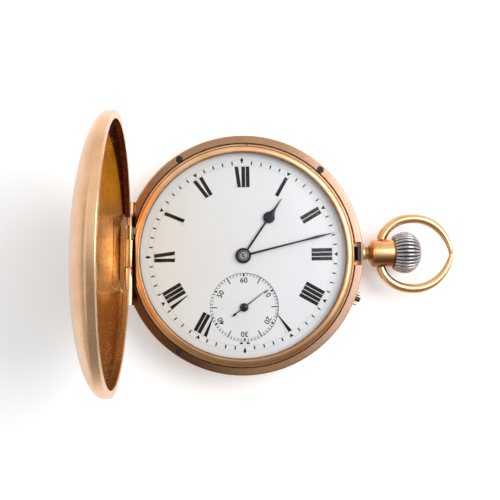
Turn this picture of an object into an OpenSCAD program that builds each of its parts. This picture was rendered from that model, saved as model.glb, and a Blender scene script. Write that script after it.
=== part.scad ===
// Full hunter pocket watch with its lid open, in millimetres.
// Z points up out of the dial, X to the crown at three o'clock, Y to twelve o'clock.
// The origin is on the case axis, in the flat middle of the back cover that the watch rests on.

/* [Case] */
// Diameter of the case band and of both covers
case_d = 50; // [49:0.25:53]
// Depth of the back cover below the band
back_depth = 4.2; // [4.1:0.1:5]
// Diameter of the flat middle of the back cover
back_flat_d = 20; // [14:1:26]
// Height of the case band between its two rims
band_h = 5.8; // [5.7:0.05:6.6]
// Radial thickness of the case band
band_wall = 3.1; // [3:0.05:3.3]
// Depth of the domed front lid
lid_depth = 6.4; // [5.6:0.1:8]
// Sheet thickness of the lid and of the back cover
shell_t = 0.5; // [0.4:0.05:0.65]
// Height of the thick rim inside the lid
lid_rim_h = 1.2; // [1.15:0.05:1.5]
// Radial width of the land that the lid shuts on
land_w = 1.7; // [1.5:0.05:1.8]
// Height of the bezel above the land
bezel_h = 1.4; // [1.2:0.05:1.7]
// Thickness of the watch glass
glass_t = 0.5; // [0.4:0.05:0.6]
// Rise of the glass from its edge to its middle
glass_rise = 1.8; // [1.5:0.1:2.6]
// Thickness of the inner dust cover
dust_cover_t = 0.35; // [0.25:0.05:0.45]

/* [Hinges] */
// Angle that the open lid stands at
lid_open = 88; // [80:1:92]
// Turn of the hinge side about the case axis, past nine o'clock
hinge_turn = -2; // [-2.5:0.1:0]
// Distance of the cover hinges inside the case edge
hinge_inset = 1.6; // [1.5:0.05:1.7]
// Length of the front hinge
hinge_len = 21.2; // [20.4:0.2:22]
// Radius of a hinge knuckle
knuckle_r = 0.9; // [0.8:0.05:0.95]
// Radius of a hinge pin
pin_r = 0.35; // [0.25:0.05:0.45]
// Radius of a dust cover knuckle
small_knuckle_r = 0.4; // [0.35:0.05:0.45]
// Radius of the dust cover's hinge pin
small_pin_r = 0.16; // [0.12:0.02:0.2]

/* [Pendant, bow and crown] */
// Diameter of the pendant
pendant_d = 5.8; // [5.4:0.1:6.2]
// Length of the pendant's straight part
pendant_len = 4.6; // [4.2:0.1:5.4]
// Radius of the pendant's neck
neck_r = 1.3; // [1.2:0.05:1.6]
// Largest diameter of the winding crown
crown_d = 8.8; // [8:0.1:9.6]
// Length of the crown's ribbed ball
crown_len = 6; // [5.6:0.1:6.6]
// Number of ribs on the crown
crown_ribs = 32; // [24:1:36]
// Travel of the crown when it is pressed to open the lid
push_travel = 0.5; // [0.3:0.05:0.55]
// Width of the bow over its wire
bow_w = 16.9; // [16:0.1:20]
// Reach of the bow beyond its pivots
bow_reach = 15.5; // [14.4:0.1:18]
// Diameter of the bow's wire at its sides
bow_wire_d = 2; // [1.6:0.1:2.2]
// Diameter of the bow's wire at its tip
bow_tip_d = 0.95; // [0.8:0.05:1.6]
// Radius of the bow's two pivots
bow_pin_r = 0.6; // [0.4:0.05:0.7]

/* [Dial and hands] */
// Thickness of the enamel dial
dial_t = 0.8; // [0.6:0.05:0.9]
// Diameter of the sunk seconds dial
sub_dial_d = 14.4; // [13:0.2:15]
// Distance of the seconds dial below the middle
sub_dial_y = 10.75; // [10.6:0.05:10.9]
// Length of the minute hand
minute_len = 19.5; // [16:0.5:20]
// Length of the hour hand
hour_len = 14.3; // [11:0.1:16]
// Length of the seconds hand
seconds_len = 6.45; // [4:0.05:6.6]
// Thickness of the hands
hand_t = 0.2; // [0.15:0.05:0.25]
// Angle of the minute hand past twelve
minute_angle = 76.7; // [0:0.1:360]
// Angle of the hour hand past twelve
hour_angle = 34.9; // [0:0.1:360]
// Angle of the seconds hand past its top mark
second_angle = 53.3; // [0:0.1:360]

/* [Movement] */
// Thickness of the pillar plate
plate_t = 0.9; // [0.8:0.05:1]
// Height of the space between the plates
train_h = 2.2; // [2.2:0.05:2.3]
// Thickness of the three-quarter plate
top_plate_t = 0.7; // [0.6:0.05:0.75]
// Radius of the three-quarter plate
top_plate_r = 20; // [19.6:0.1:20.2]
// Radius of the balance rim
balance_r = 6; // [5:0.1:6.1]
// Diameter of the mainspring barrel's wall
barrel_d = 15.2; // [14.8:0.1:15.3]
// Radius of a pillar
pillar_r = 1; // [0.8:0.05:1.1]
// Radius of a jewel
jewel_r = 0.7; // [0.6:0.05:0.8]

/* [Hidden] */
$fn = 96;

// Fits: gap around a turning piece, gap between faces that pass, gap that stays hidden
turn_gap = 0.05;
face_gap = 0.1;
swing_gap = 0.15;
eps = 0.01;

// Case radii and levels
case_r = case_d / 2;
band_in_r = case_r - band_wall;
land_in_r = case_r - land_w;
z_back = back_depth;
z_rim = z_back + band_h;
z_lid = z_rim + face_gap;
seat_z = z_rim - 0.4;
dust_rim_r = land_in_r - 0.4;
lip_h = 0.5;
lid_top_h = lid_depth - lid_rim_h;
lid_step_r = land_in_r + 0.2;
bezel_top_z = z_rim + bezel_h;
bezel_out_r = land_in_r - 0.25;
bezel_in_r = band_in_r - 0.65;
glass_r = band_in_r;
glass_z = bezel_top_z - 0.9;

// Hinge axes
hinge_x = -(case_r - hinge_inset);
front_hinge_z = z_lid;
back_hinge_z = z_back;
swing_r = knuckle_r + swing_gap;
hinge_flat_x = hinge_x - 1.1;
lid_knuckle_y = 2.9;
back_knuckle_y = 2.6;
finger_gap_y = 5.8;
tab_y = 8;
tab_h = 0.9;
notch_y = 9.3;
dust_hinge_x = hinge_x + 1.4;
dust_hinge_z = z_back - 0.05;
dust_knuckle_y = 1.4;
dust_hinge_y = 3.6;
dust_flat_x = dust_hinge_x + 0.1;

// Movement levels, counted from the dial down
dial_z = z_rim - 0.6 - dial_t;
plate_top = dial_z - 1.1;
plate_z = plate_top - plate_t;
top_plate_top = plate_z - train_h;
top_plate_z = top_plate_top - top_plate_t;
stem_z = plate_z - 0.3;
plate_r = band_in_r - 0.2;
plate_rim_r = band_in_r - 0.9;
ledge_r = band_in_r - 1.4;
ledge_h = 0.7;

// Levels of the hands
seconds_z = dial_z + dial_t + 0.1;
hour_z = seconds_z + 0.3;
minute_z = hour_z + 0.5;

// Train: teeth, modules and places
barrel_teeth = 80;
barrel_mod = 0.2;
pinion_teeth = 10;
centre_teeth = 80;
centre_mod = 0.155;
third_teeth = 75;
third_mod = 0.15;
fourth_teeth = 80;
fourth_mod = 0.13;
escape_pinion_teeth = 8;
escape_teeth = 15;
escape_r = 2.6;
barrel_at = polar(barrel_mod * (barrel_teeth + pinion_teeth) / 2, 38.96);
third_at = seat(centre_mod * (centre_teeth + pinion_teeth) / 2,
                third_mod * (third_teeth + pinion_teeth) / 2);
fourth_at = [0, -sub_dial_y];
escape_at = fourth_at + polar(fourth_mod * (fourth_teeth + escape_pinion_teeth) / 2, 204.3);
lever_at = [-8.4, -10.2];
balance_at = [-12.5, -6.5];
cock_foot_at = [-16, 2.5];
pallet_foot_at = [-10.9, -13.3];
pillar_turns = [50, 130, 265, 335];
pillar_ring_r = 18.3;
arbor_r = 0.25;
pivot_r = 0.15;
pivot_gap = 0.04;

// Winding wheels
winding_mod = 0.25;
winding_teeth = 28;
winding_pinion_teeth = 11;
winding_r = winding_mod * winding_teeth / 2;
crown_wheel_at = [barrel_at[0] + sqrt(pow(2 * winding_r, 2) - pow(barrel_at[1], 2)), 0];
winding_wheel_z = top_plate_z - 0.7;
winding_wheel_t = 0.55;
crown_teeth_z = plate_z - 1.55;
winding_pinion_r = stem_z - crown_teeth_z + 0.15;
winding_pinion_x = crown_wheel_at[0] + winding_r - 0.42;
bridge_z = winding_wheel_z - 0.35;
bridge_reach = winding_r + 1.2;
bridge_turn = turn_of(barrel_at - crown_wheel_at) + 90;
bridge_feet = [for (s = [-1, 1]) crown_wheel_at + s * polar(bridge_reach, bridge_turn)];
arbor_core_r = 1.2;
click_at = barrel_at + polar(winding_r + 1.4, 100);
click_nose_at = barrel_at + polar(winding_r + 0.65, 78);
click_spring_at = barrel_at + polar(winding_r + 4.4, 128);

// Motion work under the dial
cannon_teeth = 12;
cannon_mod = 0.2;
minute_teeth = 36;
motion_r = cannon_mod * (cannon_teeth + minute_teeth) / 2;
hour_teeth = 40;
hour_mod = 2 * motion_r / (pinion_teeth + hour_teeth);
motion_turn = 35;
minute_wheel_at = polar(motion_r, motion_turn);
motion_z = plate_top + 0.15;

// Springs and their screws in the band
rim_screw_r = 23.9 - 25 + case_r;
rim_screw_turns = [47.2, 122.8, 235.1];
case_screw_turns = [110, 290];
foot_turns = [75, 195, 315];
screw_head_r = 0.7;
screw_r = 0.45;
spring_in_r = band_in_r + 0.4;
spring_t = 0.3;
spring_z = stem_z + 0.55;
spring_h = 1.45;
foot_h = 0.75;
catch_x = land_in_r + 0.3;
catch_slot_y = 2.4;
catch_y = 1.5;
finger_y = [3.9, 5.4];

// Pendant, crown and bow
pendant_x = case_r + 0.02;
pendant_r = pendant_d / 2;
collar_r = 2.05;
collar_len = 0.75;
neck_len = 0.75;
cone_len = 1.3;
neck_x = pendant_x + collar_len;
barrel_x = neck_x + neck_len + cone_len;
pendant_end_x = barrel_x + pendant_len;
mouth_r = pendant_r - 0.4;
mouth_depth = 1.6;
sleeve_r = 0.8;
stem_r = 0.45;
sleeve_x = spring_in_r + spring_t + face_gap + 0.05;
bow_x = barrel_x + 1.5;
crown_x = pendant_end_x + push_travel + face_gap;
crown_r = crown_d / 2;
crown_back = pendant_end_x - 0.6;
crown_mid = crown_back + 0.7 * crown_len * sin(38);
crown_end = crown_mid + 0.575 * crown_len * sin(75);
skirt_r = pendant_r + 0.12;
rib_depth = 0.2;
spigot_r = 1.6;

// Set pin
set_turn = -21.9;
set_pin_r = 0.5;
set_z = dial_z - 0.6;
set_in_r = band_in_r + 0.3;
set_out_r = case_r + 1.2;

function polar(r, a) = [r * cos(a), r * sin(a)];
// Place of the third wheel, at its two distances from the centre and the fourth wheel
function seat(near, far) = let (y = (pow(near, 2) - pow(far, 2) + pow(sub_dial_y, 2)) / (2 * sub_dial_y))
    [-sqrt(pow(near, 2) - pow(y, 2)), -y];
function turn_of(p) = atan2(p[1], p[0]);
// A rounded shell profile: steep at its edge, flat in its middle
function bowl(r, h, from_r = 0, steps = 18) =
    [for (i = [0:steps]) let (a = 90 * i / steps)
        [from_r + (r - from_r) * pow(sin(a), 0.77), h * pow(cos(a), 1.11)]];
function dust_z(r) = z_back - 2.3 + 2.1 * pow(r / dust_rim_r, 6);

gold = [0.86, 0.66, 0.36];
rose = [0.90, 0.70, 0.50];
steel = [0.62, 0.62, 0.63];
dark_steel = [0.20, 0.20, 0.22];
blued = [0.09, 0.09, 0.14];
brass = [0.80, 0.66, 0.36];
gilt = [0.86, 0.72, 0.40];
enamel = [0.93, 0.94, 0.95];
ruby = [0.72, 0.10, 0.22];
glass = [0.80, 0.88, 0.92, 0.35];

module at(p, z = 0, turn = 0) translate([p[0], p[1], z]) rotate([0, 0, turn]) children();
module disc(r, z0, z1) translate([0, 0, z0]) cylinder(r = r, h = z1 - z0);
module plate(z0, z1) translate([0, 0, z0]) linear_extrude(z1 - z0) children();
module rod_y(x, z, r, y0, y1) translate([x, y0, z]) rotate([-90, 0, 0]) cylinder(r = r, h = y1 - y0);
module rod_x(r, x0, x1) translate([x0, 0, stem_z]) rotate([0, 90, 0]) cylinder(r = r, h = x1 - x0);
module block(x0, x1, y0, y1, z0, z1) translate([x0, y0, z0]) cube([x1 - x0, y1 - y0, z1 - z0]);
module lathe_x() translate([0, 0, stem_z]) rotate([0, 90, 0]) rotate_extrude() children();
module ring_part(r0, r1, z0, z1, from, to) translate([0, 0, z0]) rotate([0, 0, from])
    rotate_extrude(angle = to - from) translate([r0, 0]) square([r1 - r0, z1 - z0]);
module swung(x, z, angle) translate([x, 0, z]) rotate([0, angle, 0]) translate([-x, 0, -z]) children();

// A toothed outline. The tooth or gap at turn 0 points along X
module teeth(count, mod, gap = false) {
    pitch = 360 / count;
    root = mod * count / 2 - 0.85 * mod;
    tip = mod * count / 2 + 0.6 * mod;
    polygon([for (i = [0:count - 1]) let (a = pitch * (i + (gap ? 0.5 : 0)))
        each [polar(root, a - 0.22 * pitch), polar(tip, a - 0.1 * pitch),
              polar(tip, a + 0.1 * pitch), polar(root, a + 0.22 * pitch)]]);
}

// A crossed wheel: teeth outside, spokes inside
module crossed(rim_r, hub_r, spoke_w, spokes = 4) difference() {
    children();
    difference() {
        circle(r = rim_r);
        circle(r = hub_r);
        for (i = [0:spokes - 1]) rotate(360 * i / spokes)
            translate([0, -spoke_w / 2]) square([rim_r + eps, spoke_w]);
    }
}

// An arbor between the plates with a thin pivot at each end
module arbor(r = arbor_r) {
    disc(r, top_plate_top + face_gap / 2, plate_z - face_gap / 2);
    disc(pivot_r, top_plate_z + 0.1, plate_z + 0.6);
}

// A spiral ribbon of even pitch, as an outline
module spiral(r0, pitch, turns, t, per_turn = 24) {
    n = turns * per_turn;
    side = function (s) [for (i = [0:n]) polar(r0 + s * t / 2 + pitch * i / per_turn, 360 * i / per_turn)];
    outer = side(1);
    inner = side(-1);
    polygon([each outer, for (i = [n:-1:0]) inner[i]]);
}

module screw(head_r, head_h, shank_r, shank_len) {
    difference() {
        cylinder(r = head_r, h = head_h);
        translate([-head_r, -head_r * 0.15, head_h * 0.55]) cube([2 * head_r, head_r * 0.3, head_h]);
    }
    translate([0, 0, -shank_len]) cylinder(r = shank_r, h = shank_len + eps);
}

module at_rim_screws() for (a = rim_screw_turns) at(polar(rim_screw_r, a), 0, a) children();

// The case band, with the fixed knuckles of the three hinges
module band_ring() rotate_extrude() polygon([
    [band_in_r, seat_z], [band_in_r, plate_z], [ledge_r, plate_z], [ledge_r, plate_z - ledge_h],
    [band_in_r, plate_z - ledge_h], [band_in_r, z_back + 0.2], [dust_rim_r + 0.08, z_back + 0.2],
    [dust_rim_r + 0.08, z_back - lip_h], [land_in_r, z_back - lip_h], [land_in_r, z_back],
    [case_r - 0.4, z_back], [case_r - 0.1, z_back + 0.25], [case_r, z_back + 0.8],
    [case_r, z_rim - 0.8], [case_r - 0.1, z_rim - 0.25], [case_r - 0.4, z_rim],
    [land_in_r, z_rim], [land_in_r, seat_z]]);

module spring_pocket(turn) rotate([0, 0, turn])
    block(band_in_r - 1, rim_screw_r + 0.85, -1, 1, spring_z - 0.15, spring_z + foot_h + 0.15);

module hinge_side() rotate([0, 0, hinge_turn]) children();

module case_knuckles() {
    half = hinge_len / 2;
    rod_y(hinge_x, front_hinge_z, knuckle_r, -half, -lid_knuckle_y - face_gap);
    rod_y(hinge_x, front_hinge_z, knuckle_r, finger_gap_y, half);
    for (s = [0, 1]) mirror([0, s, 0]) {
        rod_y(hinge_x, back_hinge_z, knuckle_r, back_knuckle_y + face_gap, tab_y);
        block(hinge_x, hinge_x + swing_r + 0.1, back_knuckle_y + face_gap, tab_y,
              back_hinge_z, back_hinge_z + swing_r + 0.1);
        rod_y(dust_hinge_x, dust_hinge_z, small_knuckle_r, dust_knuckle_y + face_gap, dust_hinge_y);
    }
}

module hinge_room() {
    // Front hinge: the lid's knuckle, its tab, and the lift spring's finger
    rod_y(hinge_x, front_hinge_z, swing_r, -lid_knuckle_y - face_gap, finger_gap_y);
    block(-case_r - 2, hinge_x, -lid_knuckle_y - face_gap, finger_gap_y, front_hinge_z - 1.2, z_rim + 1);
    block(-case_r - 2, hinge_x - knuckle_r + 0.15, -notch_y, notch_y, front_hinge_z - 1.25, z_rim + 1);
    block(hinge_x - 0.7, -band_in_r + 1.2, lid_knuckle_y + face_gap, finger_gap_y - face_gap,
          spring_z + foot_h - 0.1, z_rim + 1);
    // Back hinge and dust cover hinge
    rod_y(hinge_x, back_hinge_z, swing_r, -notch_y, notch_y);
    block(-case_r - 2, hinge_x, -notch_y, notch_y, z_back - lip_h - 1, back_hinge_z + 1.2);
    block(-case_r - 2, dust_hinge_x + 1.3, -notch_y - 1, notch_y + 1, z_back - lip_h - 1, z_back + 0.05);
    rod_y(dust_hinge_x, dust_hinge_z, small_knuckle_r + face_gap, -dust_hinge_y, dust_hinge_y);
}

module spring_room(turn, from, to) {
    ring_part(band_in_r - 0.5, spring_in_r + spring_t + 0.3, spring_z - 0.1,
              spring_z + spring_h + 0.15, from, to);
    spring_pocket(turn);
}

module case_band() color(gold) {
    difference() {
        union() {
            difference() {
                band_ring();
                hinge_side() hinge_room();
            }
            hinge_side() case_knuckles();
        }
        hinge_side() {
            rod_y(hinge_x, front_hinge_z, pin_r + turn_gap / 2, -hinge_len, hinge_len);
            rod_y(hinge_x, back_hinge_z, pin_r + turn_gap / 2, -tab_y - 1, tab_y + 1);
            rod_y(dust_hinge_x, dust_hinge_z, small_pin_r + 0.02, -dust_hinge_y - 1, dust_hinge_y + 1);
        }
        rod_x(spigot_r, ledge_r - 1, case_r + 1);
        rotate([0, 0, set_turn]) translate([ledge_r - 1, 0, set_z]) rotate([0, 90, 0])
            cylinder(r = set_pin_r + turn_gap, h = case_r);
        // Catch slot, spring channels, rim screws and case screws
        block(band_in_r - 1, catch_x + 0.95, -catch_slot_y, catch_slot_y, spring_z + foot_h - 0.1, z_rim + 1);
        spring_room(rim_screw_turns[0], -6, rim_screw_turns[0] + 2);
        spring_room(rim_screw_turns[2], 164 + hinge_turn, rim_screw_turns[2] + 2);
        at_rim_screws() disc(screw_head_r + 0.04, z_rim - 0.6, z_rim + 1);
        at_rim_screws() disc(screw_r + 0.02, spring_z - 0.7, z_rim);
        for (a = case_screw_turns) at(polar(ledge_r + 0.7, a)) disc(0.37, plate_z - 2, plate_z + 1);
    }
    // Guards on both sides of the set pin
    for (s = [-1, 1]) rotate([0, 0, set_turn])
        translate([case_r - 0.3, s * (set_pin_r + 0.55), set_z]) rotate([0, 90, 0]) cylinder(r = 0.4, h = 1.1);
}
case_band();

module pendant() color(rose) difference() {
    union() {
        rod_x(spigot_r, band_in_r + 1.05, pendant_x + eps);
        lathe_x() polygon([[0, pendant_x], [collar_r, pendant_x], [collar_r + 0.1, pendant_x + 0.3],
            [collar_r - 0.1, neck_x], [neck_r, neck_x + 0.15], [neck_r, neck_x + neck_len],
            [neck_r + 0.9, neck_x + neck_len + 0.5], [pendant_r - 0.25, barrel_x - 0.15],
            [pendant_r, barrel_x + 0.2],
            [pendant_r, pendant_end_x - 0.4], [pendant_r - 0.15, pendant_end_x - 0.1],
            [pendant_r - 0.3, pendant_end_x], [0, pendant_end_x]]);
    }
    rod_x(sleeve_r + 0.06, band_in_r, pendant_end_x + 1);
    rod_x(mouth_r, pendant_end_x - mouth_depth, pendant_end_x + 1);
    for (s = [0, 1]) mirror([0, s, 0]) rod_y(bow_x, stem_z, bow_pin_r + 0.06, 1.5, pendant_r + 1);
}
pendant();

module bezel() color(gold) difference() {
    rotate_extrude() polygon([[bezel_in_r, seat_z + 0.02], [bezel_out_r - 0.25, seat_z + 0.02],
        [bezel_out_r - 0.25, z_rim + 0.15], [bezel_out_r, z_rim + 0.3], [bezel_out_r, z_rim + 0.6],
        [bezel_out_r - 0.2, bezel_top_z - 0.3], [bezel_out_r - 0.6, bezel_top_z - 0.05],
        [bezel_out_r - 0.9, bezel_top_z], [bezel_in_r + 0.3, bezel_top_z],
        [bezel_in_r + 0.1, bezel_top_z - 0.3],
        [bezel_in_r + 0.1, glass_z + glass_t], [glass_r, glass_z + glass_t], [glass_r, glass_z],
        [bezel_in_r, glass_z]]);
    hinge_side() block(-case_r, hinge_x + knuckle_r + 0.2, -case_r, case_r, seat_z - 1, bezel_top_z + 1);
}
bezel();

// The glass is a slice of a large ball over a flat edge that the bezel grips
module crystal() color(glass) {
    ball_r = (pow(bezel_in_r, 2) + pow(glass_rise, 2)) / (2 * glass_rise);
    top = glass_z + glass_t + glass_rise;
    rotate_extrude() polygon([
        for (i = [0:12]) let (r = bezel_in_r * i / 12) [r, top - ball_r + sqrt(pow(ball_r, 2) - r * r)],
        [glass_r, glass_z + glass_t], [glass_r, glass_z],
        for (i = [12:-1:0]) let (r = bezel_in_r * i / 12)
            [r, top - glass_t - ball_r + sqrt(pow(ball_r, 2) - r * r)]]);
}
crystal();

module front_hinge_pin() color(gold) hinge_side()
    rod_y(hinge_x, front_hinge_z, pin_r, -hinge_len / 2 + 0.1, hinge_len / 2 - 0.1);
front_hinge_pin();

module back_hinge_pin() color(gold) hinge_side()
    rod_y(hinge_x, back_hinge_z, pin_r, -tab_y + 0.1, tab_y - 0.1);
back_hinge_pin();

module dust_cover_hinge_pin() color(gold) hinge_side()
    rod_y(dust_hinge_x, dust_hinge_z, small_pin_r, -dust_hinge_y + 0.05, dust_hinge_y - 0.05);
dust_cover_hinge_pin();

module rim_screws() color(dark_steel) at_rim_screws() translate([0, 0, z_rim - 0.58])
    screw(screw_head_r, 0.56, screw_r, z_rim - 0.58 - spring_z + 0.65);
rim_screws();

// A flat spring on the inside of the band, with a foot under its rim screw
module band_spring(turn, from) {
    ring_part(spring_in_r, spring_in_r + spring_t, spring_z, spring_z + spring_h,
              min(from, turn), max(from, turn));
    difference() {
        rotate([0, 0, turn]) block(spring_in_r + 0.1, rim_screw_r + 0.7, -0.85, 0.85,
                                   spring_z - 0.05, spring_z + foot_h);
        at(polar(rim_screw_r, turn)) disc(screw_r + turn_gap, spring_z - 1, spring_z + 2);
    }
}

module lift_spring() color(steel) {
    band_spring(rim_screw_turns[2], 168 + hinge_turn);
    hinge_side() {
        block(hinge_x + 0.1, -spring_in_r + 0.3, finger_y[0], finger_y[1],
              spring_z + foot_h + 0.1, spring_z + spring_h);
        block(hinge_x + 0.1, hinge_x + 0.55, finger_y[0], finger_y[1],
              spring_z + foot_h + 0.1, front_hinge_z - pin_r - 0.15);
        block(hinge_x - 0.5, hinge_x + 0.55, finger_y[0], finger_y[1],
              front_hinge_z - pin_r - 0.75, front_hinge_z - pin_r - 0.15);
    }
}
lift_spring();

module lock_spring() color(steel) {
    band_spring(rim_screw_turns[0], -3);
    low = spring_z + spring_h - 0.3;
    block(spring_in_r + 0.1, catch_x + 0.4, -catch_y, catch_y, low, spring_z + spring_h - 0.05);
    block(catch_x, catch_x + 0.4, -catch_y, catch_y, low, z_rim + 0.8);
    block(catch_x, catch_x + 0.75, -catch_y, catch_y, z_rim + 0.4, z_rim + 0.8);
}
lock_spring();

module case_screws() color(steel) for (a = case_screw_turns)
    at(polar(ledge_r + 0.7, a), plate_z - ledge_h) mirror([0, 0, 1]) screw(0.6, 0.5, 0.35, ledge_h + 0.6);
case_screws();

// The lid is drawn shut and swung open about its hinge
module shut_lid() {
    top = z_lid + lid_rim_h;
    difference() {
        rotate_extrude() polygon([
            [land_in_r + 0.2, z_lid], [case_r - 0.15, z_lid], [case_r, z_lid + 0.15],
            for (p = bowl(case_r, lid_top_h)) if (p[0] == case_r) [p[0], top],
            for (i = [18:-1:0]) let (p = bowl(case_r, lid_top_h)[i]) [p[0], top + p[1]],
            for (p = bowl(case_r - shell_t, lid_top_h - shell_t)) [p[0], top + p[1]],
            [case_r - shell_t, top - 0.15], [lid_step_r, top - 0.15]]);
        // Room for the fixed knuckles, the bezel side and the catch
        block(-case_r - 1, hinge_x + knuckle_r + 0.2, -hinge_len / 2 - 0.2, hinge_len / 2 + 0.2,
              z_lid - 1, front_hinge_z + swing_r);
        block(-case_r - 1, hinge_flat_x, -case_r, case_r, z_lid - 1, front_hinge_z + swing_r + tab_h);
        rotate([0, 0, -hinge_turn]) {
            block(catch_x - 0.8, catch_x + 0.55, -catch_y - 0.5, catch_y + 0.5, z_lid - 1, z_lid + 0.95);
            block(catch_x - 0.8, catch_x + 0.9, -catch_y - 0.5, catch_y + 0.5, z_lid + 0.22, z_lid + 0.95);
            at_rim_screws() disc(screw_head_r + 0.1, z_lid - 1, z_lid + 0.25);
        }
    }
    difference() {
        union() {
            intersection() {
                block(hinge_flat_x, hinge_x + 0.3, -tab_y, tab_y,
                      front_hinge_z + swing_r, front_hinge_z + swing_r + tab_h);
                disc(case_r, 0, z_rim + lid_depth);
            }
            block(hinge_x - knuckle_r, hinge_x + 0.3, -lid_knuckle_y, lid_knuckle_y,
                  front_hinge_z, front_hinge_z + swing_r + eps);
            rod_y(hinge_x, front_hinge_z, knuckle_r, -lid_knuckle_y, lid_knuckle_y);
        }
        rod_y(hinge_x, front_hinge_z, pin_r + turn_gap, -tab_y, tab_y);
    }
}
module front_lid() color(gold) hinge_side() swung(hinge_x, front_hinge_z, -lid_open) shut_lid();
front_lid();

module back_cover() color(gold) hinge_side() {
    rim = z_back - 0.05;
    side = 0.85;
    difference() {
        rotate_extrude() polygon([
            [0, 0], for (p = bowl(case_r, rim - side, back_flat_d / 2)) [p[0], rim - side - p[1]],
            [case_r, rim - 0.15], [case_r - 0.15, rim], [land_in_r + face_gap, rim],
            [land_in_r + face_gap, rim - side], [case_r - shell_t, rim - side],
            for (i = [18:-1:0]) let (p = bowl(case_r - shell_t, rim - side - shell_t, back_flat_d / 2)[i])
                [p[0], rim - side - p[1]],
            [0, shell_t]]);
        block(-case_r - 1, hinge_x + swing_r + 0.1, -tab_y - 0.2, tab_y + 0.2,
              back_hinge_z - swing_r, back_hinge_z + 1);
        block(-case_r - 1, hinge_flat_x, -case_r, case_r, back_hinge_z - swing_r - tab_h, back_hinge_z + 1);
    }
    difference() {
        union() {
            intersection() {
                block(hinge_flat_x, hinge_x + knuckle_r, -tab_y + 0.5, tab_y - 0.5,
                      back_hinge_z - swing_r - tab_h, back_hinge_z - swing_r);
                disc(case_r, 0, z_rim);
            }
            block(hinge_x - knuckle_r, hinge_x + 0.3, -back_knuckle_y, back_knuckle_y,
                  back_hinge_z - swing_r - eps, back_hinge_z);
            rod_y(hinge_x, back_hinge_z, knuckle_r, -back_knuckle_y, back_knuckle_y);
        }
        rod_y(hinge_x, back_hinge_z, pin_r + turn_gap, -tab_y, tab_y);
    }
}
back_cover();

module dust_cover() color(gold) hinge_side() difference() {
    union() {
        difference() {
            rotate_extrude() polygon([
                for (i = [0:14]) let (r = dust_rim_r * i / 14) [r, dust_z(r)],
                for (i = [14:-1:0]) let (r = dust_rim_r * i / 14) [r, dust_z(r) + dust_cover_t]]);
            block(-case_r, dust_flat_x, -case_r, case_r, 0, z_back + 1);
            block(-case_r, dust_hinge_x + small_knuckle_r + 0.15, -dust_hinge_y - 0.1, dust_hinge_y + 0.1,
                  0, z_back + 1);
        }
        rod_y(dust_hinge_x, dust_hinge_z, small_knuckle_r, -dust_knuckle_y, dust_knuckle_y);
        block(dust_hinge_x + 0.25, dust_hinge_x + small_knuckle_r + 0.8, -dust_knuckle_y, dust_knuckle_y,
              dust_z(-dust_hinge_x - small_knuckle_r - 0.5), dust_hinge_z - 0.05);
    }
    rod_y(dust_hinge_x, dust_hinge_z, small_pin_r + turn_gap, -dust_hinge_y, dust_hinge_y);
    // Thumb notch opposite the hinge
    at([dust_rim_r + 1.5, 0]) disc(2.2, 0, z_back + 1);
}
dust_cover();

function bez(p, t) = pow(1 - t, 3) * p[0] + 3 * t * pow(1 - t, 2) * p[1] + 3 * t * t * (1 - t) * p[2]
    + pow(t, 3) * p[3];

// The bow is one wire along two curves a side, thinner towards its tip
module bow() color(rose) {
    side_y = (bow_w - bow_wire_d) / 2;
    foot_y = pendant_r + face_gap;
    wide_x = bow_x + 0.44 * bow_reach;
    tip_x = bow_x + bow_reach - bow_tip_d / 2;
    low = [[bow_x, foot_y], [bow_x, foot_y + 2.4], [bow_x + 2.75, side_y], [wide_x, side_y]];
    high = [[wide_x, side_y], [wide_x + 0.6 * (tip_x - wide_x), side_y], [tip_x - 0.45, 0.45 * side_y],
            [tip_x, 0]];
    steps = 14;
    half = [for (i = [0:steps - 1]) [bez(low, i / steps), bow_wire_d / 2],
            for (i = [0:steps]) [bez(high, i / steps),
                (bow_wire_d + (bow_tip_d - bow_wire_d) * pow(i / steps, 1.3)) / 2]];
    n = len(half);
    line = [for (i = [0:n - 1]) [[half[i][0][0], -half[i][0][1]], half[i][1]], for (i = [n - 2:-1:0]) half[i]];
    count = len(line);
    sides = 20;
    points = [for (i = [0:count - 1]) let (
        d = i == 0 || i == count - 1 ? [0, -1] : line[i + 1][0] - line[i - 1][0],
        t = d / norm(d), r = line[i][1])
        for (j = [0:sides - 1]) [line[i][0][0] - t[1] * r * cos(360 * j / sides),
            line[i][0][1] + t[0] * r * cos(360 * j / sides), stem_z + r * sin(360 * j / sides)]];
    faces = [[for (j = [0:sides - 1]) j], [for (j = [sides - 1:-1:0]) (count - 1) * sides + j],
        for (i = [0:count - 2], j = [0:sides - 1]) let (a = i * sides + j, b = i * sides + (j + 1) % sides)
            each [[a, a + sides, b], [b, a + sides, b + sides]]];
    polyhedron(points, faces);
    for (s = [0, 1]) mirror([0, s, 0]) rod_y(bow_x, stem_z, bow_pin_r, 1.7, foot_y + 0.3);
}
bow();

module push_sleeve() color(steel) difference() {
    union() {
        rod_x(sleeve_r, sleeve_x, pendant_end_x - mouth_depth + 0.1);
        rod_x(sleeve_r + 0.4, pendant_end_x - mouth_depth + push_travel + 0.1,
              pendant_end_x - mouth_depth + push_travel + 0.45);
        rod_x(sleeve_r, pendant_end_x - mouth_depth, pendant_end_x - mouth_depth + push_travel + 0.2);
    }
    rod_x(stem_r + turn_gap, sleeve_x - 1, pendant_end_x + 1);
}
push_sleeve();

module winding_stem() color(steel) {
    rod_x(stem_r, winding_pinion_x + 1.4, crown_x + 1.6);
    rod_x(stem_r * 0.8, winding_pinion_x + 0.2, winding_pinion_x + 1.5);
}
winding_stem();

// The crown: a turned ball whose skirt reaches over the pendant, and one raised wedge for every rib
function ball_line(r) = [
    for (a = [-38:9.5:0]) [r * cos(a), crown_mid + 0.7 * crown_len * sin(a)],
    for (a = [12.5:12.5:75]) [r * cos(a), crown_mid + 0.575 * crown_len * sin(a)]];

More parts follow.
